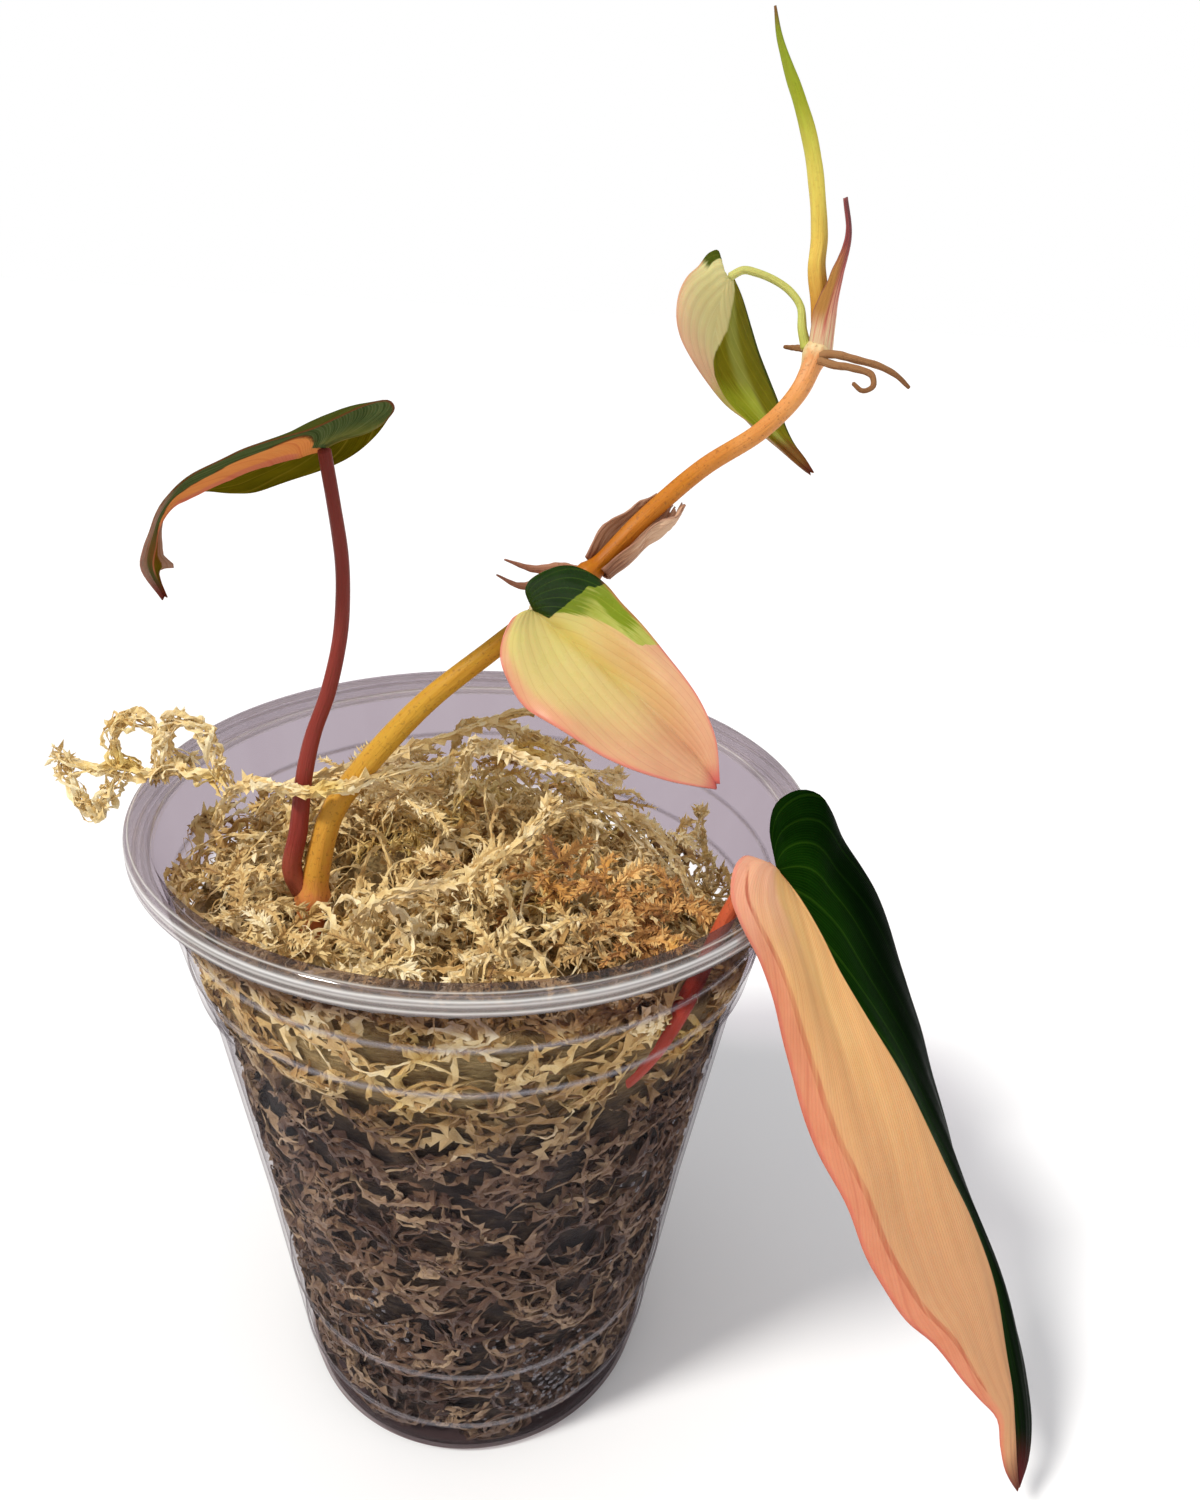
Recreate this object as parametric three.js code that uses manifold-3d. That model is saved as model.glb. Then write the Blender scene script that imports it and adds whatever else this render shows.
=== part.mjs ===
// A philodendron cutting in a clear drinking cup filled with dried sphagnum moss.
// Millimetres, +Z up. The origin is the middle of the cup's flat underside.
// The plant is seen from the front along +Y, with +X to the right.

import * as THREE from 'three'
import { mergeVertices } from 'three/addons/utils/BufferGeometryUtils.js'
import Module from 'manifold-3d'

// Driving dimensions of the cup
const CUP_HEIGHT = 110
const RIM_RADIUS = 49
const WALL = 0.8
const FLOOR = 1.0
const CUP_SIDES = 36
const BEAD_HEIGHT = 3.6
const BEAD_REACH = 2.9
const RING_DEPTH = 0.35

// Height and outer radius of the wall, from the underside up to the rim bead
const WALL_PROFILE = [
  [0, 29],
  [1.4, 30.7],
  [8, 31.9],
  [45, 36.1],
  [84, 41.3],
  [86.5, 42.7],
  [106.4, 46.1],
]
const RING_LINES = [23.8, 90.5, 98.5]

// Moss: clearance to the cup and to what stands in it, and the lie of its surface
const CLEARANCE = 0.35
const MOSS_SIDES = 36
const MOSS_EDGE = 95.5
const MOSS_TILT_FRONT = 6.5
const MOSS_TILT_LEFT = 3.5
const MOSS_CROWN = 108
const MOSS_CROWN_RADIUS = 4
const MOSS_EDGE_RADIUS = 44
const MOSS_TOP_RADIUS = 43
const MOSS_RELIEF = 1.3
const STEM_HOLLOW = { x: -23, y: -17, depth: 6, spread: 40 }
const MOSS_SEED = 20817
const SPRIG_COUNT = 36
const LEAFY_COUNT = 12
const SPRIG_REACH = 38
const SPRIG_LENGTH = [12, 23]
const SPRIG_RADIUS = 1.2
const SPRIG_SINK = 3.5
const LEAFLET = { count: 4, first: 0.45, spacing: 0.15, reach: 4, rise: 2, radii: [0.9, 0.2] }

// Vine stem: centre line from the buried end up to the top node, and its radii
const STEM_LINE = [
  [6, -12, 58],
  [-4, -13, 68],
  [-14, -14.5, 78],
  [-21, -16, 88],
  [-23, -17, 97],
  [-22.5, -17, 102],
  [-20, -14.5, 112.5],
  [-17, -13, 117],
  [-8, -11, 127],
  [2, -9, 135],
  [14, -5, 144],
  [20.5, -3, 150.5],
  [28.5, 0, 157],
  [36.5, 2, 162],
  [41.5, 4, 167],
  [44, 6, 172.5],
]
const STEM_RADII = [1.5, 1.8, 1.9, 2.0, 2.0, 1.8, 1.7, 1.65, 1.6, 1.5, 1.45, 1.4, 1.35, 1.3, 1.3, 1.45]
const NODE_RINGS = [
  { at: [-14, -14.5, 78], radius: 2.5 },
  { at: [-22.6, -17, 101.5], radius: 2.5 },
  { at: [13.5, -5.2, 143.6], radius: 2.1 },
  { at: [43.7, 5.7, 171.5], radius: 2.0 },
]
const AERIAL_ROOTS = [
  [[43.5, 5, 171.5], [45, 2, 171.8], [47, -1, 171.5], [49.5, -2, 171], [52, -2, 170], [54.5, -1, 168.5]],
  [[43.5, 5, 171], [44.6, 1, 170.6], [46, -3, 170.6], [47.8, -5, 170], [47.8, -6, 168.8],
    [46.4, -6.6, 168.2], [45.2, -6, 169]],
  [[44, 6, 171.8], [42.6, 9, 172], [41, 12, 172]],
]
const AERIAL_RADIUS = [0.55, 0.3]
const BURIED_ROOTS = [
  [[4, -12.5, 60], [10, -20, 52], [14.5, -28, 44], [12, -28, 32], [4, -24, 22]],
  [[-10, -14, 74], [-14, -22, 62], [-8, -29, 50], [2, -30, 40]],
  [[-20, -15.5, 86], [-27, -8, 74], [-26, 6, 60], [-16, 14, 44]],
]
const ROOT_RADIUS = [0.9, 0.45]

// Leaves: each has a midrib and two margins, from the notch at the stalk to the drip tip
const BLADE_THICKNESS = 0.7
const MIDRIB_RADIUS = [0.75, 0.35]
const LEFT_LEAF = {
  name: 'leaf_left',
  color: 0x5b6b3c,
  rows: 15,
  up: [-0.15, 0.42, 0.9],
  arch: 0.05,
  wave: 0.35,
  mid: [[-19.5, -4, 158.5], [-22.5, -4, 157.6], [-26.5, -4, 156.2], [-31, -4.5, 154.3], [-35, -5, 152.5],
    [-38.1, -5.2, 151], [-40.3, -4.9, 148.2], [-41.3, -4.2, 145.5], [-42.1, -3.4, 142.6],
    [-41.4, -2.2, 138]],
  near: [[-19.2, -5.2, 158.4], [-16.5, -8.5, 159.9], [-13.2, -12, 161.6], [-10.8, -15.5, 163.2],
    [-9.8, -18, 164.6], [-10.4, -20, 165.7], [-12.6, -21, 165.5], [-15.4, -21.3, 164.4],
    [-18.8, -21, 162.6], [-23, -20, 160.8], [-27, -18, 159.3], [-32.7, -14.5, 156.6], [-36.9, -11.5, 152.7],
    [-38.6, -10, 150.6], [-40.1, -8.5, 148.2], [-41.8, -6.5, 145.7], [-43, -4.8, 142.6],
    [-41.6, -2.6, 137.9]],
  far: [[-19.2, -2.4, 158.4], [-17.6, 2, 159.5], [-14.6, 6, 160.4], [-12.7, 9.5, 161], [-14.4, 12.5, 158.3],
    [-17.2, 14, 155.9], [-20.9, 14.3, 153.6], [-24.9, 14, 151.5], [-29.3, 13.5, 149.9], [-32.1, 12.5, 149.3],
    [-34.6, 10.5, 149.7], [-37, 6.5, 150.5], [-38.7, 1, 150.5], [-40, -1, 149.4], [-40.7, -2.2, 147],
    [-40.9, -2, 144.6], [-41.6, -2, 141.8], [-41.2, -1.7, 138]],
  stalk: [[-24, -17, 102.5], [-25, -17, 106], [-24, -16, 111], [-23, -14, 118.5], [-22, -12, 123],
    [-20, -10, 128.5], [-18.5, -8, 135], [-18, -7, 140], [-18, -6, 145], [-18.8, -5, 152], [-19.7, -4, 158]],
  stalkRadii: [1.35, 1.15, 1.0, 0.95, 0.9, 0.85],
}
const MIDDLE_LEAF = {
  name: 'leaf_middle',
  color: 0xd9c793,
  rows: 15,
  up: [-0.2, -0.62, 0.75],
  arch: 0.07,
  wave: 0.3,
  mid: [[6, -13, 141], [7.8, -13.3, 139.6], [11.5, -14.6, 137], [15.5, -17, 134.2], [20, -20.2, 131.5],
    [24, -23.8, 128.4], [26.5, -26.8, 126.2], [28, -29, 124.5]],
  near: [[5.2, -13.6, 140.9], [3.6, -15, 140.6], [2.2, -17, 138.6], [2, -19, 136.6], [3, -21, 134.3],
    [4.8, -23, 132.2], [7.5, -24.6, 130.8], [10.5, -26.4, 129.6], [14, -28.4, 128.2], [17.5, -29.8, 127],
    [21.5, -30.4, 126], [25, -30.2, 125.2], [27.8, -29.3, 124.3]],
  far: [[6.2, -13, 141.8], [5, -14, 143.6], [5.4, -14.5, 145.2], [7.5, -14, 146.5], [10, -13, 146.7],
    [12.5, -12.5, 146], [15, -12.5, 144.6], [17.3, -13.5, 142.2], [20, -15, 139.6], [22.3, -17, 137.4],
    [24.5, -20, 135.2], [26.6, -23, 132.4], [27.9, -26, 129.4], [28.3, -28.8, 124.8]],
  stalk: [[14, -5, 143.8], [11.5, -8, 142.6], [8.8, -10.4, 141.4], [6.2, -12.6, 140.8]],
  stalkRadii: [1.15, 1.0, 0.9],
}
const UPPER_LEAF = {
  name: 'leaf_upper',
  color: 0xb9b56c,
  rows: 14,
  up: [-0.35, -0.85, 0.4],
  arch: 0.1,
  wave: 0.25,
  mid: [[32.5, 13, 180], [31.6, 12.6, 178], [31, 12, 174], [31.6, 12, 170], [33.6, 12.5, 166],
    [37.5, 13, 162], [42.5, 13, 158.5], [46, 12.5, 156], [47.5, 12, 155]],
  near: [[31.8, 13.3, 180.6], [30.8, 13.8, 182], [30.8, 14, 183.4], [29.4, 13.5, 183], [28, 12.5, 181.4],
    [26.3, 11, 179.8], [25.1, 9.4, 177.5], [24.9, 8.6, 175], [25.6, 8.7, 172.8], [27.5, 9.2, 170],
    [30.2, 10.2, 167], [33.5, 11.2, 164], [37.5, 12, 161.6], [41.5, 12.3, 159], [44.6, 12.2, 156.6],
    [47.3, 11.9, 154.8]],
  far: [[33.4, 13.8, 180], [35, 15.3, 178], [37, 16.8, 174.5], [39, 17.6, 170.7], [41, 17.8, 167.2],
    [42.6, 17.2, 164.2], [43.8, 16, 161], [45, 14.6, 158.8], [46.5, 13.2, 157], [47.8, 12.1, 155.2]],
  stalk: [[42.6, 7, 172.2], [42, 7.9, 174.4], [41.8, 9.5, 177.2], [40.5, 11, 179], [38.5, 12, 180.2],
    [36, 12.7, 181], [34.3, 13.1, 181.2], [32.6, 13.2, 180.3]],
  stalkRadii: [0.75, 0.5, 0.5, 0.55],
}
const HANGING_LEAF = {
  name: 'leaf_hanging',
  color: 0xd99a6a,
  rows: 22,
  up: [0.6, -0.75, 0.3],
  arch: 0.06,
  wave: 0.5,
  mid: [[36.5, -30, 113.5], [39, -31.5, 110.5], [42.5, -33, 105.5], [45.4, -34, 100.5], [49.5, -35.4, 94],
    [54, -36.6, 87], [59, -37.8, 78.5], [64, -38.8, 70], [69.5, -39.8, 61], [75, -41, 49.5],
    [79, -42.8, 36.5], [82.3, -45, 23], [83.9, -46.4, 15], [84.9, -47.5, 9.8]],
  near: [[35.3, -31.2, 114.2], [33, -33.6, 117.2], [31, -35.2, 118.4], [29.6, -37.4, 118],
    [29.3, -39.2, 115.6], [30.4, -40, 113], [32, -40, 110], [33.6, -39.6, 107], [35.6, -39.6, 102],
    [38, -39.8, 95], [40.7, -40.4, 88.5], [45.2, -42, 77], [49.5, -43, 68.8], [53.4, -44, 60.4],
    [57.4, -44.8, 53.9], [61.8, -45.4, 47.2], [65.9, -45.7, 43], [71.6, -46.2, 35.1], [75.1, -46.5, 30.8],
    [78.9, -46.8, 26.1], [80.7, -47.1, 19.5], [82.4, -47.4, 14], [84.7, -47.8, 9.6]],
  far: [[36.7, -28.8, 114], [36, -26.5, 117], [36.6, -25, 119.8], [38.5, -24, 121], [40.6, -23.8, 121.5],
    [43, -24, 120.8], [44.8, -24.4, 118.6], [46.6, -25, 115], [49, -25.8, 111.5], [51.2, -26.6, 108],
    [55.5, -28.5, 99], [58, -29.3, 94], [60.6, -30.3, 88], [63, -31.5, 80], [66.2, -33, 71.5],
    [73, -35.6, 56], [77.6, -37.6, 46.5], [81.2, -39.8, 38], [84.2, -42, 29.5], [86.2, -44.2, 21],
    [86.3, -46, 14.5], [85.2, -47.4, 9.8]],
  stalk: [[1, -13.5, 64.5], [8, -22, 70], [16, -29.5, 77], [21.4, -33, 86], [25, -32.8, 92.5],
    [27.6, -32.2, 99], [29.6, -31.4, 104.5], [31.4, -30.6, 108.6], [33.4, -30, 112], [36, -30, 113.4]],
  stalkRadii: [0.9, 1.0, 1.05, 1.05, 1.05],
}
const LEAVES = [LEFT_LEAF, MIDDLE_LEAF, UPPER_LEAF, HANGING_LEAF]

// Rolled new leaf, and the sheaths at the nodes
const SPEAR_LINE = [[44, 6.2, 174.4], [43.4, 6.6, 178], [42.5, 7, 182], [42.5, 7.5, 185.5], [41, 8, 193],
  [39.5, 8, 197], [38, 8, 200], [36, 8, 203.5], [34.5, 8, 206.5], [33.6, 8, 209.5]]
const SPEAR_RADII = [1.15, 1.2, 1.15, 1.05, 1.0, 1.0, 0.9, 0.75, 0.45, 0.15]
const SHEATH_THICKNESS = 0.6
const UPPER_SHEATH = {
  name: 'sheath_upper',
  color: 0xd08a76,
  line: [[44.1, 5.9, 173.5], [44, 5.8, 177], [44.3, 5.2, 181.2], [44.9, 4.6, 185.6], [43.9, 4.2, 189.8]],
  radii: [2.15, 2.05, 1.6, 0.8, 0.35],
  middle: [0.8, -0.6, 0],
  sweep: [150, 130, 90, 65, 55],
  ragged: 0,
}
const DRY_SHEATH = {
  name: 'sheath_middle',
  color: 0xa0745a,
  line: [[14.8, -4.8, 144.4], [17.6, -3.8, 147.4], [20.6, -2.8, 150.4], [24.8, -1.4, 154]],
  radii: [2.4, 2.6, 2.7, 2.5],
  middle: [0.65, 0.6, -0.45],
  sweep: [125, 115, 95, 60],
  ragged: 1.6,
}
const DRY_POINTS = [
  [[12.6, -3.2, 143.4], [10, -4.6, 144.2], [6, -6.6, 144.6], [2.5, -8, 146]],
  [[10.2, -4.5, 144.1], [6.8, -7.4, 142.8], [4.4, -9.2, 143], [1.5, -10.2, 144.6]],
]
const DRY_POINT_RADII = [0.7, 0.6, 0.3]
const SPEAR_SIDES = 7
const SPEAR_STEPS = 16

// Main strands of the moss bed, and the strand that lies over the left of the rim
const BED_STRANDS = [
  [[-17, -29, 102], [-13, -31.5, 110], [-8, -32, 112.5], [-4, -30, 112], [3, -24, 112.5], [9.5, -18, 116.5]],
  [[-4, -2, 106], [-1, -5, 119], [3, -9, 119.5], [10, -13, 119], [18, -15, 119]],
  [[35, 0, 86], [36.2, 0, 95], [34, -1, 101], [33.2, -1, 106]],
  [[8, -6, 104], [13, -10, 111.5], [20, -13, 113], [25, -17, 109], [30, -19, 101]],
  [[-6, 14, 102], [-3, 12, 114], [4, 9, 115.5], [12, 7, 112.5], [20, 6, 105]],
  [[-30, 4, 98], [-27, 1, 108], [-20, 0, 111], [-13, -1, 109]],
]
const RIM_STRANDS = [
  [[-34, -8, 112], [-36.2, -5, 113], [-39, -3, 113.2], [-43, -1, 112.2], [-48, 1, 111.2], [-52, 2, 111.1],
    [-56, 3, 110.9], [-59.5, 4, 111], [-62.5, 4, 112.4]],
  [[-36, -5, 113], [-37, -4, 117.5], [-39, -3, 120.5], [-42, -2, 121], [-44.4, -1, 118], [-44, 0, 114.4],
    [-42, -0.6, 112.8]],
  [[-49, 1.2, 111.3], [-52, 2, 113.2], [-52, 2, 117], [-49.5, 2, 119.5], [-46.6, 1.4, 118.6],
    [-45.6, 0.6, 115.6], [-46, 0.4, 111.7]],
  [[-52, 2, 111.1], [-54, 3, 107.4], [-57.5, 3, 103.2], [-59, 3.4, 106.6], [-60.4, 4, 111.2]],
]
const RIM_STRAND_RADII = [0.8, 1.0, 0.9, 0.75, 0.4]
const BED_STRAND_RADII = [0.9, 1.0, 0.9, 0.3]
const STRAND_SIDES = 4
const STRAND_STEPS = 9

const wasm = await Module()
wasm.setup()

// Mulberry generator: the same draws for the same seed
function seededDraws(seed) {
  let state = seed
  return () => {
    state = (state + 0x6d2b79f5) | 0
    let t = Math.imul(state ^ (state >>> 15), 1 | state)
    t = (t + Math.imul(t ^ (t >>> 7), 61 | t)) ^ t
    return ((t ^ (t >>> 14)) >>> 0) / 4294967296
  }
}

const vector = (point) => new THREE.Vector3(...point)
const smoothLine = (points) => new THREE.CatmullRomCurve3(points.map(vector), false, 'centripetal')

// Value at u (0 to 1) of a list of evenly spaced values
function along(values, u) {
  const place = Math.min(Math.max(u, 0), 1) * (values.length - 1)
  const index = Math.min(Math.floor(place), values.length - 2)
  return THREE.MathUtils.lerp(values[index], values[index + 1], place - index)
}

// Value at x of a list of [x, value] pairs in rising x
function interpolate(pairs, x) {
  const next = Math.max(1, pairs.findIndex((pair) => pair[0] >= x))
  const [a, b] = [pairs[next - 1], pairs[next]]
  return THREE.MathUtils.mapLinear(x, a[0], b[0], a[1], b[1])
}

// Closed solid from a three.js geometry whose shared vertices are merged
function toSolid(geometry) {
  const bare = geometry.clone()
  bare.deleteAttribute('normal')
  bare.deleteAttribute('uv')
  const merged = mergeVertices(bare, 1e-4)
  const mesh = new wasm.Mesh({
    numProp: 3,
    vertProperties: new Float32Array(merged.attributes.position.array),
    triVerts: new Uint32Array(merged.index.array),
  })
  return new wasm.Manifold(mesh)
}

// Largest connected body of a solid, so that a cut leaves no loose scrap
function largestBody(solid) {
  const bodies = solid.decompose()
  bodies.sort((a, b) => b.volume() - a.volume())
  return bodies[0]
}

function toGeometry(solid) {
  const mesh = solid.getMesh()
  const geometry = new THREE.BufferGeometry()
  const positions = new Float32Array((mesh.vertProperties.length / mesh.numProp) * 3)
  for (let i = 0; i < positions.length / 3; i++) {
    for (let axis = 0; axis < 3; axis++) {
      positions[i * 3 + axis] = mesh.vertProperties[i * mesh.numProp + axis]
    }
  }
  geometry.setAttribute('position', new THREE.BufferAttribute(positions, 3))
  geometry.setIndex(new THREE.BufferAttribute(new Uint32Array(mesh.triVerts), 1))
  geometry.computeVertexNormals()
  return geometry
}

// Round rod along a curve: a capped cylinder whose rings ride on the curve's frames
function rodGeometry(points, radii, sides, steps, extra = 0) {
  const curve = smoothLine(points)
  const frames = curve.computeFrenetFrames(steps)
  const geometry = new THREE.CylinderGeometry(1, 1, 1, sides, steps)
  const position = geometry.attributes.position
  for (let i = 0; i < position.count; i++) {
    const u = position.getY(i) + 0.5
    const ring = Math.round(u * steps)
    const radius = along(radii, u) + extra
    const place = curve.getPointAt(ring / steps)
    place.addScaledVector(frames.normals[ring], position.getX(i) * radius)
    place.addScaledVector(frames.binormals[ring], -position.getZ(i) * radius)
    if (extra > 0 && ring === 0) place.addScaledVector(frames.tangents[0], -extra)
    if (extra > 0 && ring === steps) place.addScaledVector(frames.tangents[steps], extra)
    position.setXYZ(i, place.x, place.y, place.z)
  }
  return geometry
}

function rod(points, radii, sides, steps, extra = 0) {
  return toSolid(rodGeometry(points, radii, sides, steps, extra))
}

// Closed plate from a grid of points: both faces share the grid and its triangles.
// The faces lie half the thickness to either side along the grid's own normals.
function plateGeometry(grid, thickness) {
  const rows = grid.length
  const cols = grid[0].length
  const positions = []
  const normalAt = (i, j) => {
    const downRows = grid[Math.min(i + 1, rows - 1)][j].clone().sub(grid[Math.max(i - 1, 0)][j])
    const across = grid[i][Math.min(j + 1, cols - 1)].clone().sub(grid[i][Math.max(j - 1, 0)])
    return across.cross(downRows).normalize()
  }
  for (const side of [0.5, -0.5]) {
    for (let i = 0; i < rows; i++) {
      for (let j = 0; j < cols; j++) {
        const place = grid[i][j].clone().addScaledVector(normalAt(i, j), side * thickness)
        positions.push(place.x, place.y, place.z)
      }
    }
  }
  const layer = rows * cols
  const index = []
  const quad = (a, b, c, d) => index.push(a, b, c, a, c, d)
  for (let i = 0; i < rows - 1; i++) {
    for (let j = 0; j < cols - 1; j++) {
      const a = i * cols + j
      const [b, c, d] = [a + 1, a + cols + 1, a + cols]
      quad(a, b, c, d)
      index.push(layer + a, layer + c, layer + b, layer + a, layer + d, layer + c)
    }
  }
  const rim = []
  for (let j = 0; j < cols - 1; j++) rim.push(j)
  for (let i = 0; i < rows - 1; i++) rim.push(i * cols + cols - 1)
  for (let j = cols - 1; j > 0; j--) rim.push((rows - 1) * cols + j)
  for (let i = rows - 1; i > 0; i--) rim.push(i * cols)
  rim.forEach((a, k) => {
    const b = rim[(k + 1) % rim.length]
    quad(a, layer + a, layer + b, b)
  })
  const geometry = new THREE.BufferGeometry()
  geometry.setAttribute('position', new THREE.Float32BufferAttribute(positions, 3))
  geometry.setIndex(index)
  geometry.computeVertexNormals()
  return geometry
}

// Leaf blade: rows of points that fan out from the midrib to the two margins.
// Each half arches between midrib and margin, and its edge is gently waved.
const HALF_COLS = 3
const FAN = 1.8
const EDGE_EASE = 1.25
const WAVES = 4
function bladeGeometry(leaf) {
  const mid = smoothLine(leaf.mid)
  const margins = [smoothLine(leaf.near), smoothLine(leaf.far)]
  const up = vector(leaf.up).normalize()
  const grid = []
  for (let i = 0; i <= leaf.rows; i++) {
    const u = i / leaf.rows
    const rib = mid.getPointAt(Math.pow(u, FAN) * 0.985)
    const edges = margins.map((margin) => margin.getPointAt(Math.pow(u, EDGE_EASE)))
    const row = []
    for (let j = -HALF_COLS; j <= HALF_COLS; j++) {
      const v = Math.abs(j) / HALF_COLS
      const edge = edges[j < 0 ? 0 : 1]
      const width = edge.distanceTo(rib)
      const place = rib.clone().lerp(edge, v)
      const lift = leaf.arch * width * Math.sin(Math.PI * v)
      const ripple = leaf.wave * v * v * Math.sin(Math.PI * u) * Math.sin(2 * Math.PI * WAVES * u)
      row.push(place.addScaledVector(up, lift + ripple))
    }
    grid.push(row)
  }
  return plateGeometry(grid, BLADE_THICKNESS)
}

// Sheath: a slit tube that tapers to a point and stays open on one side
function sheathGeometry(sheath) {
  const rows = 9
  const cols = 8
  const line = smoothLine(sheath.line)
  const middle = vector(sheath.middle).normalize()
  const grid = []
  for (let i = 0; i <= rows; i++) {
    const row = []
    for (let j = 0; j <= cols; j++) {
      const v = (2 * j) / cols - 1
      const trim = 1 - (sheath.ragged / line.getLength()) * (0.5 + 0.5 * Math.cos(5 * v + 1))
      const u = (i / rows) * trim
      const tangent = line.getTangentAt(u)
      const side = new THREE.Vector3().crossVectors(tangent, middle).normalize()
      const out = new THREE.Vector3().crossVectors(side, tangent).normalize()
      const angle = THREE.MathUtils.degToRad(along(sheath.sweep, u)) * v
      const radius = along(sheath.radii, u)
      const place = line.getPointAt(u)
      place.addScaledVector(out, Math.cos(angle) * radius)
      place.addScaledVector(side, Math.sin(angle) * radius)
      row.push(place)
    }
    grid.push(row)
  }
  return plateGeometry(grid, SHEATH_THICKNESS)
}

const wallRadius = (height) => interpolate(WALL_PROFILE, height)
const innerRadius = (height) => wallRadius(height) - WALL

// Cup: one closed profile turned round the axis, with shallow ring lines outside
function cupGeometry() {
  const outside = WALL_PROFILE.map(([height, radius]) => [radius, height])
  RING_LINES.forEach((height) => {
    const radius = wallRadius(height)
    outside.push([wallRadius(height - 0.8), height - 0.8], [radius - RING_DEPTH, height])
    outside.push([wallRadius(height + 0.8), height + 0.8])
  })
  outside.sort((a, b) => a[1] - b[1])
  const beadFoot = CUP_HEIGHT - BEAD_HEIGHT
  const bead = [
    [RIM_RADIUS - 0.5, beadFoot + 0.2],
    [RIM_RADIUS, beadFoot + 1.1],
    [RIM_RADIUS, CUP_HEIGHT - 1.0],
    [RIM_RADIUS - 1.1, CUP_HEIGHT],
    [RIM_RADIUS - BEAD_REACH + 0.4, CUP_HEIGHT - 0.2],
  ]
  const inside = [beadFoot, 86.5, 84, 45, 8, FLOOR + 0.7].map((height) => [innerRadius(height), height])
  const profile = [[0, 0], ...outside, ...bead, ...inside, [29 - WALL, FLOOR], [0, FLOOR]]
  const points = profile.map(([radius, height]) => new THREE.Vector2(radius, height))
  return new THREE.LatheGeometry(points, CUP_SIDES).rotateX(Math.PI / 2)
}

// Height of the moss surface: an edge that is high in front and low behind, and a crown
function mossHeight(x, y) {
  const radius = Math.hypot(x, y)
  const turn = Math.atan2(y, x)
  const edge = MOSS_EDGE - MOSS_TILT_FRONT * Math.sin(turn) - MOSS_TILT_LEFT * Math.cos(turn)
  const share = THREE.MathUtils.smoothstep(radius, MOSS_CROWN_RADIUS, MOSS_EDGE_RADIUS)
  const fromStem = (x - STEM_HOLLOW.x) ** 2 + (y - STEM_HOLLOW.y) ** 2
  const hollow = STEM_HOLLOW.depth * Math.exp(-fromStem / STEM_HOLLOW.spread)
  return THREE.MathUtils.lerp(MOSS_CROWN, edge, share) - hollow
}

// Core of the bed: rings up the wall, then rings in over the top, all with lumpy relief
function mossCore(draw) {
  const foot = FLOOR + CLEARANCE
  const sideHeights = [foot, 23, 45, 65, 84, 86.5, Infinity]
  const topShares = [0.86, 0.66, 0.44, 0.22]
  const ringCount = sideHeights.length + topShares.length
  const profile = [new THREE.Vector2(0, 0)]
  for (let ring = 1; ring <= ringCount; ring++) profile.push(new THREE.Vector2(1, ring))
  profile.push(new THREE.Vector2(0, ringCount + 1))
  const geometry = new THREE.LatheGeometry(profile, MOSS_SIDES).rotateX(Math.PI / 2)
  const position = geometry.attributes.position
  const relief = new Map()
  for (let i = 0; i < position.count; i++) {
    const ring = Math.round(position.getZ(i))
    const turn = Math.atan2(position.getY(i), position.getX(i))
    const sector = ((Math.round((turn / (2 * Math.PI)) * MOSS_SIDES) % MOSS_SIDES) + MOSS_SIDES) % MOSS_SIDES
    const key = `${ring} ${sector}`
    if (!relief.has(key)) relief.set(key, draw() * MOSS_RELIEF)
    const bump = relief.get(key)
    if (ring === 0) {
      position.setXYZ(i, 0, 0, foot)
    } else if (ring <= sideHeights.length) {
      const edgeX = MOSS_EDGE_RADIUS * Math.cos(turn)
      const edgeY = MOSS_EDGE_RADIUS * Math.sin(turn)
      const height = Math.min(sideHeights[ring - 1], mossHeight(edgeX, edgeY))
      const reach = innerRadius(Math.max(height, FLOOR + 0.7)) - CLEARANCE - bump - (ring === 1 ? 1 : 0)
      position.setXYZ(i, reach * Math.cos(turn), reach * Math.sin(turn), height)
    } else if (ring <= ringCount) {
      const reach = MOSS_TOP_RADIUS * topShares[ring - sideHeights.length - 1]
      const [x, y] = [reach * Math.cos(turn), reach * Math.sin(turn)]
      position.setXYZ(i, x, y, mossHeight(x, y) - 1.5 * bump)
    } else {
      position.setXYZ(i, 0, 0, mossHeight(0, 0))
    }
  }
  return toSolid(geometry)
}

// Strand that rises out of the bed, arches over it and comes down again, inside the wall
function archedStrand(x0, y0, turn, bend, length, lift, end) {
  const shares = [0, 0.25, 0.6, 1]
  const lifts = [-SPRIG_SINK, 0.8 * lift, lift, end]
  return shares.map((share, k) => {
    const heading = turn + bend * share
    let x = x0 + length * share * Math.cos(heading)
    let y = y0 + length * share * Math.sin(heading)
    const limit = innerRadius(88) - CLEARANCE - SPRIG_RADIUS - 0.6
    const squeeze = Math.min(1, limit / Math.hypot(x, y))
    x *= squeeze
    y *= squeeze
    return [x, y, mossHeight(x, y) + lifts[k]]
  })
}

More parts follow.
